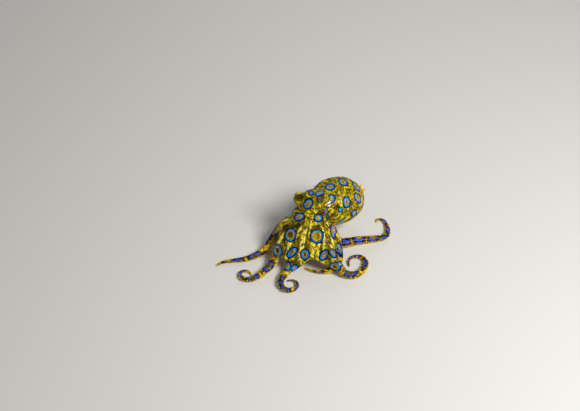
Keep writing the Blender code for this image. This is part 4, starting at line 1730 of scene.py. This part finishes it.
class Tree:
    """A material's shader tree."""

    def __init__(self, name: str) -> None:
        """Start a material with a plain Principled shader."""
        self.material = bpy.data.materials.new(name)
        self.material.use_nodes = True
        self.shader = self.material.node_tree.nodes["Principled BSDF"]

    def node(self, kind: str, settings: dict, values: dict) -> Shade:
        """Add a node and return its first enabled output; its arguments are those of add_node."""
        made = add_node(self.material.node_tree, kind, settings, values)
        return Shade(self, next(socket for socket in made.outputs if socket.enabled))

    def feed(self, inputs: dict[str, Any]) -> None:
        """Fill inputs of the shader, by name."""
        for name, value in inputs.items():
            fill(self.material.node_tree, self.shader.inputs[name], value)

    def mix(self, first: Any, second: Any, part: Any) -> Shade:
        """Return a colour that goes from first to second as part goes from 0 to 1."""
        values = {"Factor_Float": part, "A_Color": first, "B_Color": second}
        return self.node("ShaderNodeMix", {"data_type": "RGBA"}, values)

    def field(self, name: str) -> Shade:
        """Return a value that the mesh holds at its corners."""
        settings = {"attribute_name": name}
        made = add_node(self.material.node_tree, "ShaderNodeAttribute", settings, {})
        return Shade(self, made.outputs["Fac"])

    def place(self) -> Shade:
        """Return the place on the piece in mm."""
        made = add_node(self.material.node_tree, "ShaderNodeTexCoord", {}, {})
        values = {0: made.outputs["Object"], "Scale": 1.0 / MM}
        return self.node("ShaderNodeVectorMath", {"operation": "SCALE"}, values)

    def cloud(self, place: Shade, size: float, detail: float = 3.0, rough: float = 0.55) -> Shade:
        """Return soft noise about 0.5 with patches of a size in mm."""
        values = {"Vector": place, "Scale": 1.0 / size, "Detail": detail, "Roughness": rough}
        return self.node("ShaderNodeTexNoise", {}, values)

    def cells(self, place: Shade, size: float) -> Shade:
        """Return how far each place is from the middle of its cell, for cells of a size in mm."""
        values = {"Vector": place, "Scale": 1.0 / size, "Randomness": 1.0}
        return self.node("ShaderNodeTexVoronoi", {"feature": "F1"}, values)

    def finish(self, colour: Any, roughness: Any, height: Any, depth: float) -> None:
        """Feed the shader.

        Args:
            colour: the base colour.
            roughness: the roughness.
            height: what the fine bumps follow, or None.
            depth: how high they are, in mm.
        """
        self.feed({"Base Color": colour, "Roughness": roughness})
        if height is not None:
            values = {"Strength": 1.0, "Distance": depth * MM, "Height": height}
            self.feed({"Normal": self.node("ShaderNodeBump", {}, values)})


def tone(red: int, green: int, blue: int) -> Triple:
    """Return a screen colour as the light that a shader works with."""
    return tuple(
        c / 12.92 if c <= 0.04045 else ((c + 0.055) / 1.055) ** 2.4
        for c in (red / 255.0, green / 255.0, blue / 255.0)
    )


class Mottling:
    """The noises that the skin's colours follow, and its net of cells with dark specks."""

    def __init__(self, tree: Tree) -> None:
        """Add the noises to a tree."""
        self.tree = tree
        self.place = tree.place()
        self.big = tree.cloud(self.place, 6.0, 2.0, 0.5)
        self.patches = tree.cloud(self.place, 2.3, 3.0, 0.6)
        self.fine = tree.cloud(self.place, 0.85, 2.0, 0.6)
        self.net = tree.cells(self.place, 1.05)
        self.both = self.patches * 0.55 + self.fine * 0.45
        speck = (self.net + (self.fine - 0.5) * 0.7).fall(0.14, 0.36)
        self.specks = speck * (self.big + self.fine).rise(0.92, 1.08)


@dataclass(frozen=True)
class SkinFinish:
    """Moist ochre-yellow skin mottled with olive, with blue rings edged in black."""

    yellow: tuple = tone(190, 163, 0)
    bright: tuple = tone(250, 230, 24)
    # pale is a painted highlight, laid along the crests of the skirt's ridges.
    pale: tuple = tone(248, 236, 156)
    olive: tuple = tone(82, 71, 0)
    dusk: tuple = tone(50, 42, 2)
    dark: tuple = tone(22, 16, 2)
    orange: tuple = tone(216, 132, 0)
    gold: tuple = tone(176, 142, 4)
    tan: tuple = tone(112, 90, 10)
    brown: tuple = tone(58, 42, 6)
    russet: tuple = tone(176, 112, 8)
    cream: tuple = tone(222, 204, 140)
    black: tuple = tone(4, 2, 3)
    blue: tuple = tone(0, 40, 205)
    cyan: tuple = tone(0, 178, 255)
    roughness: float = 0.40
    specular: float = 0.12
    coat: float = 0.08
    coat_roughness: float = 0.22
    bump: float = 0.07
    # How strongly the blue lines give off light: a painted glow, for the rings are no lamp.
    shine: float = 0.20

    def material(self) -> Material:
        """Return the skin's material.

        Returns:
            A material that reads the values which the skin and the papillae hold.
        """
        tree = Tree("moist_ringed_skin")
        noises = Mottling(tree)
        limb = tree.field("limb")
        flesh = tree.mix(self.flesh(noises), self.limbs(noises), limb * 0.95)
        flesh = tree.mix(flesh, self.orange, tree.field("spike") * 0.85)
        flesh = tree.mix(flesh, self.bright, tree.field("tip") * 0.6)
        pale = tree.mix(self.cream, self.yellow, noises.fine.rise(0.4, 0.7) * 0.5)
        flesh = tree.mix(flesh, pale, tree.field("under"))
        colour, shine = self.rings(noises, flesh, limb)

        height = tree.cloud(noises.place, 0.45, 3.0, 0.6) * 0.7 - noises.net * 0.5
        tree.finish(colour, noises.fine * 0.2 + (self.roughness - 0.1), height, self.bump)
        # The blue lines give off light as emission: a painted glow.
        tree.feed({"Emission Color": shine, "Emission Strength": self.shine})
        tree.feed({"Specular IOR Level": self.specular})
        tree.feed({"Coat Weight": self.coat, "Coat Roughness": self.coat_roughness})
        return tree.material

    def flesh(self, noises: Mottling) -> Shade:
        """Return the colour of the mantle, the head and the skirt of webs.

        Args:
            noises: what its patches follow.

        Returns:
            The colour.
        """
        tree = noises.tree
        ridges_and_sheen = tree.field("ridges_and_sheen")
        fine = noises.fine
        both = noises.both
        # The ridges lift the yellow and the bright patches on their crests and lower them in their grooves:
        # painted highlight and painted shade.
        mottle = both * 0.9 + noises.big * 0.3 + ridges_and_sheen * 0.08
        colour = tree.mix(self.olive, self.yellow, mottle.rise(0.53, 0.67))
        colour = tree.mix(colour, self.olive, noises.net.rise(0.42, 0.66) * 0.6)
        colour = tree.mix(colour, self.bright, (both + ridges_and_sheen * 0.09).rise(0.515, 0.635) * 0.9)
        # The pale streaks are a painted highlight along the crests of the ridges.
        colour = tree.mix(colour, self.pale, ridges_and_sheen.rise(0.3, 0.9) * fine.rise(0.42, 0.56) * 0.7)
        # Darken towards dusk in the dark patches: the head's own olive, and painted shadow on the flank by
        # the right arms.
        colour = tree.mix(colour, self.dusk, tree.field("shade") * 0.93)
        # Dark mottling of the skin's own, a little stronger in the grooves between the ridges as painted
        # shade.
        dark_mottle_and_groove_shade = (both - ridges_and_sheen * 0.06).fall(0.37, 0.48)
        return tree.mix(colour, self.dark, noises.specks.most(dark_mottle_and_groove_shade * 0.85) * 0.8)

    def limbs(self, noises: Mottling) -> Shade:
        """Return the colour of the bare arms, dark with yellow and orange patches.

        Args:
            noises: what its patches follow.

        Returns:
            The colour.
        """
        tree = noises.tree
        fine = noises.fine
        spots = tree.cloud(noises.place, 1.9, 2.0, 0.55) * 0.7 + fine * 0.3
        spots = spots.rise(0.455, 0.515)
        patches = tree.mix(self.orange, self.yellow, noises.patches.rise(0.4, 0.6))
        colour = tree.mix(self.dark, patches, spots)
        return tree.mix(colour, self.bright, spots * fine.rise(0.52, 0.64) * 0.8)

    def rings(self, noises: Mottling, flesh: Shade, limb: Shade) -> tuple[Shade, Shade]:
        """Lay the rings on the flesh: a black edge, a golden or brown heart and a blue line.

        Args:
            noises: what the wobble of the lines follows.
            flesh: the colour between the rings.
            limb: 1 on the bare arms and 0 elsewhere.

        Returns:
            The colour, and the painted glow that the blue lines give off as emission.
        """
        tree = noises.tree
        edge = tree.field("edge")
        glow = tree.field("glow")
        heart = tree.field("heart")
        fine = noises.fine
        tints = noises.both.rise(0.46, 0.60)
        shadow = edge.fall(0.76, 1.18).most(edge.fall(1.0, 2.2) * limb * 0.9)
        colour = tree.mix(flesh, self.black, shadow * glow.rise(0.0, 0.5))
        middle = tree.mix(self.gold, self.tan, heart.rise(0.1, 0.6))
        middle = tree.mix(middle, self.russet, tints * 0.7)
        middle = tree.mix(middle, self.dark, (heart * edge.fall(-1.9, -0.9)).most(noises.specks * 0.4))
        inner = tree.mix(self.yellow, self.bright, fine.rise(0.45, 0.6))
        middle = tree.mix(middle, inner, edge.rise(-1.15, -0.85) * (0.9 - heart * 0.4))
        middle = tree.mix(middle, tree.mix(self.brown, self.tan, tints), limb * 0.8)
        colour = tree.mix(colour, middle, edge.fall(-0.64, -0.46) * 0.97)
        wobble = edge + (fine - 0.5) * 0.12
        line = wobble.size().fall(0.20, 0.33) * glow.rise(0.05, 0.5)
        core = (wobble + 0.02).size().fall(0.0, 0.21) * glow.rise(0.35, 1.0) * (1.0 - limb * 0.5)
        colour = tree.mix(colour, self.blue, line)
        colour = tree.mix(colour, self.cyan, core * 0.9)
        # The light of the blue lines, given off as emission, is a painted glow.
        return colour, tree.mix((0.0, 0.0, 0.0), tree.mix(self.blue, self.cyan, core), line)


@dataclass(frozen=True)
class SuckerFinish:
    """Cream suckers with a warmer rim and a brown hollow."""

    rim: tuple = tone(232, 206, 112)
    stem: tuple = tone(206, 168, 58)
    hollow: tuple = tone(150, 112, 60)

    def material(self) -> Material:
        """Return the suckers' material.

        Returns:
            A material that reads how deep and how hollow each place of a sucker is.
        """
        tree = Tree("cream_suckers")
        place = tree.place()
        fine = tree.cloud(place, 0.5, 2.0)
        depth = tree.field("depth")
        colour = tree.mix(self.rim, self.stem, depth.rise(0.1, 0.6))
        colour = tree.mix(colour, self.hollow, tree.field("hollow"))
        colour = tree.mix(colour, self.stem, fine.rise(0.5, 0.7) * 0.4)
        tree.finish(colour, 0.38, fine, 0.04)
        tree.feed({"Coat Weight": 0.3, "Coat Roughness": 0.2})
        return tree.material


@dataclass(frozen=True)
class EyeFinish:
    """A silvery eye with a black slit, a thin golden edge and painted shade in dark brown at its rim, where
    the lid meets it.
    """

    silver: tuple = tone(236, 238, 226)
    gold: tuple = tone(196, 160, 60)
    brown: tuple = tone(46, 32, 12)
    black: tuple = tone(8, 7, 8)

    def material(self) -> Material:
        """Return the eyes' material.

        Returns:
            A material that reads each place along the slit, across it and out from the front.
        """
        tree = Tree("silver_eye")
        across = tree.field("across").size()
        along = tree.field("length").size()
        out = tree.field("outward")
        fine = tree.cloud(tree.place(), 0.35, 2.0)
        colour = tree.mix(self.silver, self.gold, out.rise(0.50, 0.80))
        colour = tree.mix(colour, self.gold, fine.rise(0.5, 0.7) * 0.25)
        # Dark brown at the very edge, where the lid meets the ball: painted shade in that crease.
        colour = tree.mix(colour, self.brown, out.rise(0.66, 0.84))
        slit = (across + along * 0.08).fall(0.13, 0.20) * along.fall(0.60, 0.74)
        colour = tree.mix(colour, self.black, slit)
        tree.finish(colour, 0.12, None, 0.0)
        tree.feed({"Coat Weight": 0.6, "Coat Roughness": 0.05})
        return tree.material


@dataclass
class Eyes:
    """The two eyeballs, each a smooth ball whose slit lies as in the photograph."""

    head: Head = field(default_factory=Head)
    rows: int = 32
    sides: int = 48
    slit_tilt: float = -12.0

    def build(self, finish: EyeFinish) -> list[Object]:
        """Make the left and the right eyeball.

        Args:
            finish: their finish.

        Returns:
            The two objects, in mm.
        """
        material = finish.material()
        radius = self.head.eye_radius
        angles = np.pi * np.arange(1, self.rows) / self.rows
        profile = [(-radius, 0.0)]
        profile += [(-radius * math.cos(a), radius * math.sin(a)) for a in angles]
        profile += [(radius, 0.0)]
        made = []
        for which, name in enumerate(("eye_ball_left", "eye_ball_right")):
            look = unit(self.head.looks[which])
            side, up = square_to(look)
            centre = self.head.eye_centre(which)
            ball = Patchwork()
            ball.turn(tuple(profile), centre, look, self.sides)
            offset = (ball.corners[0] - centre) / radius
            tilt = math.radians(self.slit_tilt if which == 0 else -self.slit_tilt)
            long = math.cos(tilt) * side + math.sin(tilt) * up
            ahead = offset @ look
            fields = {
                "length": offset @ long,
                "across": offset @ np.cross(look, long),
                "outward": np.sqrt(np.maximum(1 - ahead**2, 0)),
            }
            fields = {key: np.where(ahead > 0, values, 1.0) for key, values in fields.items()}
            eye = ball.make(name, fields)
            eye.data.materials.append(material)
            made.append(eye)
        return made


@dataclass
class Places:
    """Where a repeated piece stands: its middles, its directions and its sizes, in mm."""

    middles: list[np.ndarray] = field(default_factory=list)
    facings: list[np.ndarray] = field(default_factory=list)
    sizes: list[float] = field(default_factory=list)

    def stand(self, middle: np.ndarray, facing: np.ndarray, size: float) -> None:
        """Add a place."""
        self.middles.append(middle)
        self.facings.append(facing)
        self.sizes.append(size)

    def mesh(self, name: str) -> Mesh:
        """Return the places as the corners of a mesh.

        Args:
            name: its name.

        Returns:
            The mesh, whose corners hold the directions and the sizes.
        """
        made = bpy.data.meshes.new(name)
        made.from_pydata(np.array(self.middles).tolist(), [], [])
        vectors = made.attributes.new("facing", "FLOAT_VECTOR", "POINT")
        vectors.data.foreach_set("vector", np.array(self.facings, dtype=np.float32).ravel())
        write_fields(made, {"breadth": self.sizes})
        return made


@dataclass(frozen=True)
class Scatter:
    """A Geometry Nodes tree that sets a piece on every point, and what is made with it."""

    name: str
    seed: int = 5

    def tree(self) -> NodeTree:
        """Build the node tree.

        Returns:
            A tree whose inputs are points, a piece, a size, a seed for its turns and a finish, and
            whose result is real faces with the finish on them.
        """
        group = bpy.data.node_groups.new(self.name + "_on_points", "GeometryNodeTree")
        for name, kind in (
            ("Geometry", "Geometry"),
            ("Piece", "Object"),
            ("Size Factor", "Float"),
            ("Turn Seed", "Int"),
            ("Finish", "Material"),
        ):
            group.interface.new_socket(name, in_out="INPUT", socket_type="NodeSocket" + kind)
        group.interface.new_socket("Geometry", in_out="OUTPUT", socket_type="NodeSocketGeometry")
        given = add_node(group, "NodeGroupInput", {}, {}).outputs
        stored = {}
        for name, kind in (("facing", "FLOAT_VECTOR"), ("breadth", "FLOAT")):
            values = {"Name": name}
            made = add_node(group, "GeometryNodeInputNamedAttribute", {"data_type": kind}, values)
            stored[name] = made.outputs["Attribute"]
        values = {"Vector": stored["facing"]}
        turn = add_node(group, "FunctionNodeAlignRotationToVector", {"axis": "Z"}, values)
        values = {"Max_001": 2.0 * math.pi, "Seed": given["Turn Seed"]}
        draw = add_node(group, "FunctionNodeRandomValue", {"data_type": "FLOAT"}, values)
        values = {"Axis": (0.0, 0.0, 1.0), "Angle": socket_of(draw.outputs, "Value_001")}
        spin = add_node(group, "FunctionNodeAxisAngleToRotation", {}, values)
        values = {"Rotation": turn.outputs["Rotation"], "Rotate By": spin.outputs["Rotation"]}
        both = add_node(group, "FunctionNodeRotateRotation", {"rotation_space": "LOCAL"}, values)
        values = {0: stored["breadth"], 1: given["Size Factor"]}
        scale = add_node(group, "ShaderNodeMath", {"operation": "MULTIPLY"}, values)
        piece = add_node(group, "GeometryNodeObjectInfo", {}, {"Object": given["Piece"]})
        values = {
            "Points": given["Geometry"],
            "Instance": piece.outputs["Geometry"],
            "Rotation": both.outputs["Rotation"],
            "Scale": scale.outputs[0],
        }
        spread = add_node(group, "GeometryNodeInstanceOnPoints", {}, values)
        values = {"Geometry": spread.outputs["Instances"]}
        real = add_node(group, "GeometryNodeRealizeInstances", {}, values)
        values = {"Geometry": real.outputs["Geometry"], "Material": given["Finish"]}
        finish = add_node(group, "GeometryNodeSetMaterial", {}, values)
        add_node(group, "NodeGroupOutput", {}, {"Geometry": finish.outputs["Geometry"]})
        return group

    def build(self, places: Places, piece: Object, material: Material) -> Object:
        """Return one mesh with the piece on every place.

        Args:
            places: where the piece stands.
            piece: the piece, of size one.
            material: its finish.

        Returns:
            The object, in mm.
        """
        holder = link_new(self.name + "_places", places.mesh(self.name))
        group = self.tree()
        spread = holder.modifiers.new("scatter", "NODES")
        spread.node_group = group
        inputs = {"Piece": piece, "Finish": material, "Turn Seed": self.seed, "Size Factor": 1.0}
        for item in group.interface.items_tree:
            if item.in_out == "INPUT" and item.name in inputs:
                spread[item.identifier] = inputs[item.name]
        depsgraph = bpy.context.evaluated_depsgraph_get()
        mesh = bpy.data.meshes.new_from_object(holder.evaluated_get(depsgraph))
        mesh.name = self.name
        made = link_new(self.name, mesh)
        bpy.data.objects.remove(holder)
        bpy.data.objects.remove(piece)
        log.info("%s: %d places", self.name, len(places.sizes))
        return made


@dataclass
class Suckers:
    """Two rows of suckers under each arm, to its tip, with their rims on the floor."""

    paths: dict[Part, ArmPath]
    crown: Crown = field(default_factory=Crown)
    root_size: float = 1.05
    tip_size: float = 0.30
    spacing: float = 2.12
    first: float = 2.6
    row_angle: float = 25.0
    splay: float = 8.0
    sides: int = 10
    end_gap: float = 0.2

    def places(self) -> Places:
        """Find where the suckers stand.

        Returns:
            The middle, the direction and the size of each sucker's rim.
        """
        found = Places()
        crown = self.crown
        span = crown.root_radius - crown.tip_radius
        for path in self.paths.values():
            for row, start in ((-1.0, self.first), (1.0, self.first + 0.5 * self.spacing)):
                along = start
                while along < path.length - self.end_gap:
                    radius = float(path.at(along, path.radius))
                    part = (radius - crown.tip_radius) / span
                    size = self.tip_size + (self.root_size - self.tip_size) * part
                    found.stand(*self.pose(path, along, row, radius, size), size)
                    along += self.spacing * size
        return found

    def pose(
        self, path: ArmPath, along: float, row: float, radius: float, size: float
    ) -> tuple[np.ndarray, np.ndarray]:
        """Find the place of one sucker.

        Args:
            path: its arm.
            along: its place along the arm.
            row: -1 for the right row and 1 for the left one.
            radius: the arm's radius there.
            size: its own radius.

        Returns:
            The middle of its rim and its direction, which is straight down on the floor.
        """
        back = unit(path.at(along, path.back))
        side = unit(path.at(along, path.side))
        angle = math.radians(self.row_angle)
        wide = float(self.crown.wide(along, radius))
        root = path.at(along, path.centre) + row * side * wide * math.sin(angle)
        root = root - back * self.crown.underside * radius * math.cos(angle)
        lean = angle + math.radians(self.splay)
        facing = row * side * math.sin(lean) - back * math.cos(lean)
        height = float(self.crown.stand_off(radius))
        lowest = root[2] + height * facing[2] - size * math.hypot(facing[0], facing[1])
        if along >= path.touch or lowest < 0.0:
            return np.array((root[0], root[1], 0.0)), -UP
        return root + facing * height, facing

    def cup(self) -> Object:
        """Make one sucker of radius one, whose rim lies at zero and whose stem points down.

        Returns:
            The sucker.
        """
        outline = (
            (-1.35, 0.55, 0.0), (-0.62, 0.60, 0.0), (-0.16, 1.0, 0.0), (0.0, 0.86, 0.15),
            (-0.16, 0.62, 0.7), (-0.46, 0.24, 1.0),
        )
        angles = circle(self.sides)
        rings = [
            np.column_stack((wide * np.cos(angles), wide * np.sin(angles), np.full(self.sides, z)))
            for z, wide, _ in outline
        ]
        made = Patchwork()
        made.sweep(np.array(rings), (0.0, 0.0, outline[0][0]), (0.0, 0.0, outline[-1][0]))
        hollow = np.array([row[2] for row in outline]).repeat(self.sides)
        values = {
            "hollow": np.concatenate((hollow, (0.0, 1.0))),
            "depth": np.clip(-made.corners[0][:, 2], 0.0, 1.0),
        }
        return made.make("one_sucker", values)

    def build(self, finish: SuckerFinish) -> Object:
        """Return all the suckers as one object in mm."""
        return Scatter("suckers").build(self.places(), self.cup(), finish.material())


@dataclass
class Papillae:
    """The pointed papillae along both edges of each arm and, lower ones, on its back."""

    paths: dict[Part, ArmPath]
    mantle: Mantle = field(default_factory=Mantle)
    heights: Pair = (0.36, 0.75)
    least_height: float = 0.12
    steps: Pair = (0.95, 1.6)
    before_web: float = 3.0
    end_gap: float = 0.5
    edge_turns: Pair = (66.0, 100.0)
    back_turns: Pair = (30.0, 60.0)
    back_lowness: float = 0.55
    back_sparseness: float = 1.6
    lean_up: float = 0.35
    lean_ahead: float = 0.25
    sides: int = 8
    seed: int = 21

    def places(self) -> Places:
        """Find where the papillae stand.

        Returns:
            Their places, their directions and their heights.
        """
        draw = np.random.default_rng(self.seed)
        found = Places()
        for path, reach in zip(self.paths.values(), web_reach(list(self.paths))):
            first = reach - self.before_web
            for side in (-1.0, 1.0, 0.0):
                along = first + draw.uniform(0.0, 1.0)
                while along < path.length - self.end_gap:
                    radius = float(path.at(along, path.radius))
                    turn = side * draw.uniform(*self.edge_turns)
                    height = draw.uniform(*self.heights)
                    step = draw.uniform(*self.steps)
                    if side == 0.0:
                        turn = draw.choice((-1.0, 1.0)) * draw.uniform(*self.back_turns)
                        height *= self.back_lowness
                        step *= self.back_sparseness
                    height *= min(1.0, 0.40 + radius / 2.8) * float(rise(along - first, -1.0, 5.0))
                    height = max(height, self.least_height)
                    self.add(found, path, along, math.radians(turn), height)
                    along += step * (0.55 + 0.35 * radius)
        return found

    def add(self, found: Places, path: ArmPath, along: float, turn: float, height: float) -> None:
        """Add a papilla.

        Args:
            found: what it is added to.
            path: its arm.
            along: its place along the arm.
            turn: its place round it from the back, in radians.
            height: how tall it is.
        """
        root = path.surface(along, turn)[0]
        out = unit(root - path.at(along, path.centre))
        on_edge = abs(turn) > 1.0
        ahead = path.at(along, path.ahead)
        lean = self.lean_up * UP * on_edge
        found.stand(root, unit(out + lean + self.lean_ahead * ahead), height)

    def cone(self, name: str, profile: tuple, spike: float) -> Object:
        """Return one papilla of height one.

        Args:
            name: its name.
            profile: its outline, as heights and radii from its hidden foot to its tip.
            spike: how much it is coloured like the mantle's tip.

        Returns:
            The papilla.
        """
        made = Patchwork()
        made.turn(profile, (0.0, 0.0, 0.0), UP, self.sides)
        height = made.corners[0][:, 2]
        count = len(height)
        values = {
            "edge": np.full(count, 4.0),
            "glow": np.ones(count),
            "limb": np.full(count, 1.0 - spike),
            "spike": spike * rise(height, -0.1, 0.15),
            "tip": rise(height, 0.1, 0.9),
        }
        return made.make(name, values)

    def build(self, material: Material) -> list[Object]:
        """Make the papillae.

        Args:
            material: the skin's material.

        Returns:
            Those of the arms and those of the mantle's tip, each as one object in mm.
        """
        low = ((-0.35, 0.0), (-0.35, 0.92), (0.02, 0.66), (0.38, 0.36), (0.78, 0.19), (1.0, 0.0))
        high = ((-0.2, 0.0), (-0.2, 0.38), (0.08, 0.27), (0.4, 0.17), (0.75, 0.09), (1.0, 0.0))
        arms = Scatter("arm_papillae", self.seed)
        tip = Scatter("mantle_tip_papillae", self.seed + 1)
        cones = self.cone("low_papilla", low, 0.0), self.cone("high_papilla", high, 1.0)
        return [
            arms.build(self.places(), cones[0], material),
            tip.build(self.mantle.spike_places(), cones[1], material),
        ]


@dataclass
class Studio:
    """The pale floor, the soft lights and the camera."""

    view: PhotoView = field(default_factory=PhotoView)
    floor_reach: float = 3000.0
    floor_tone: tuple = tone(216, 213, 206)
    sky: tuple = (0.93, 0.96, 1.0, 1.0)
    sky_strength: float = 0.20
    aim: Triple = (0.0, 0.0, 0.015)

    def build(self, shift: np.ndarray) -> None:
        """Set up the studio round the animal.

        Args:
            shift: how far the solids lie from the drawing position, in mm.
        """
        self.floor()
        self.lamp("key_light", (0.32, -0.24, 0.46), 0.26, 3.6)
        self.lamp("fill_light", (-0.50, -0.22, 0.34), 0.50, 0.22)
        self.lamp("back_light", (0.05, 0.55, 0.38), 0.40, 0.55)
        world = bpy.context.scene.world or bpy.data.worlds.new("studio")
        bpy.context.scene.world = world
        world.use_nodes = True
        backdrop = world.node_tree.nodes["Background"]
        backdrop.inputs["Color"].default_value = self.sky
        backdrop.inputs["Strength"].default_value = self.sky_strength
        self.camera(shift)
        bpy.context.scene.view_settings.view_transform = "Standard"

    def floor(self) -> None:
        """Add the pale floor."""
        reach = self.floor_reach * MM
        corners = [(-reach, -reach, 0.0), (reach, -reach, 0.0), (reach, reach, 0.0), (-reach, reach, 0.0)]
        mesh = bpy.data.meshes.new("floor")
        mesh.from_pydata(corners, [], [(0, 1, 2, 3)])
        tree = Tree("pale_floor")
        tree.finish(self.floor_tone, 0.75, None, 0.0)
        mesh.materials.append(tree.material)
        floor = link_new("floor", mesh)

    def lamp(self, name: str, place: tuple, size: float, power: float) -> None:
        """Add a round soft light that shines at the animal.

        Args:
            name: its name.
            place: where it stands, in metres.
            size: how wide it is, in metres.
            power: its power, in watts.
        """
        light = bpy.data.lights.new(name, "AREA")
        light.shape = "DISK"
        light.size = size
        light.energy = power
        lamp = link_new(name, light)
        lamp.location = place
        shine = Vector(self.aim) - Vector(place)
        lamp.rotation_euler = shine.to_track_quat("-Z", "Y").to_euler()

    def camera(self, shift: np.ndarray) -> None:
        """Add the camera of the photograph.

        Args:
            shift: how far the solids lie from the drawing position, in mm.
        """
        data = bpy.data.cameras.new("camera")
        data.lens = self.view.lens
        data.sensor_width = self.view.sensor
        data.clip_start = 0.01
        data.clip_end = 20.0
        camera = link_new("camera", data)
        camera.location = (self.view.place() + shift) * MM
        camera.rotation_euler = (math.radians(90.0 - self.view.elevation), 0.0, 0.0)
        bpy.context.scene.camera = camera


def placed_shift(head: Head) -> np.ndarray:
    """Return how far the solids lie from the drawing position, from the left eyeball's middle."""
    low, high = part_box("eye_left")
    return np.array((low + high) / 2.0) / MM - head.eye_centre(0)


def settle(made: Object, shift: np.ndarray) -> None:
    """Move a piece from mm in the drawing position to metres in the solids' place."""
    made.data.transform(Matrix.Scale(MM, 4) @ Matrix.Translation(Vector(shift)))
    log.info("%s: %d faces", made.name, len(made.data.polygons))


def main() -> None:
    """Build the octopus on its solids, and the studio round it."""
    logging.basicConfig(level=logging.INFO, format="%(message)s")
    crown = Crown()
    head = Head()
    shift = placed_shift(head)
    log.info("shift %s", np.round(shift, 3))
    paths = {limb: ArmPath(arm, crown) for limb, arm in ARMS.items()}

    skin_finish = SkinFinish().material()
    skin = Skin(paths).build(skin_finish)
    settle(skin, shift)
    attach(skin, BODY)
    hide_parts(*(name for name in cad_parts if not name.startswith("eye_")))

    suckers = Suckers(paths).build(SuckerFinish())
    settle(suckers, shift)
    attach(suckers, BODY)

    for papillae, slot in zip(Papillae(paths).build(skin_finish), ("arm_skin", "body_skin")):
        settle(papillae, shift)
        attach(papillae, BODY)

    for eye, node in zip(Eyes().build(EyeFinish()), ("eye_left", "eye_right")):
        settle(eye, shift)
        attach(eye, BODY)
        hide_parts(node)

    Studio().build(shift)


if __name__ == "__main__":
    main()
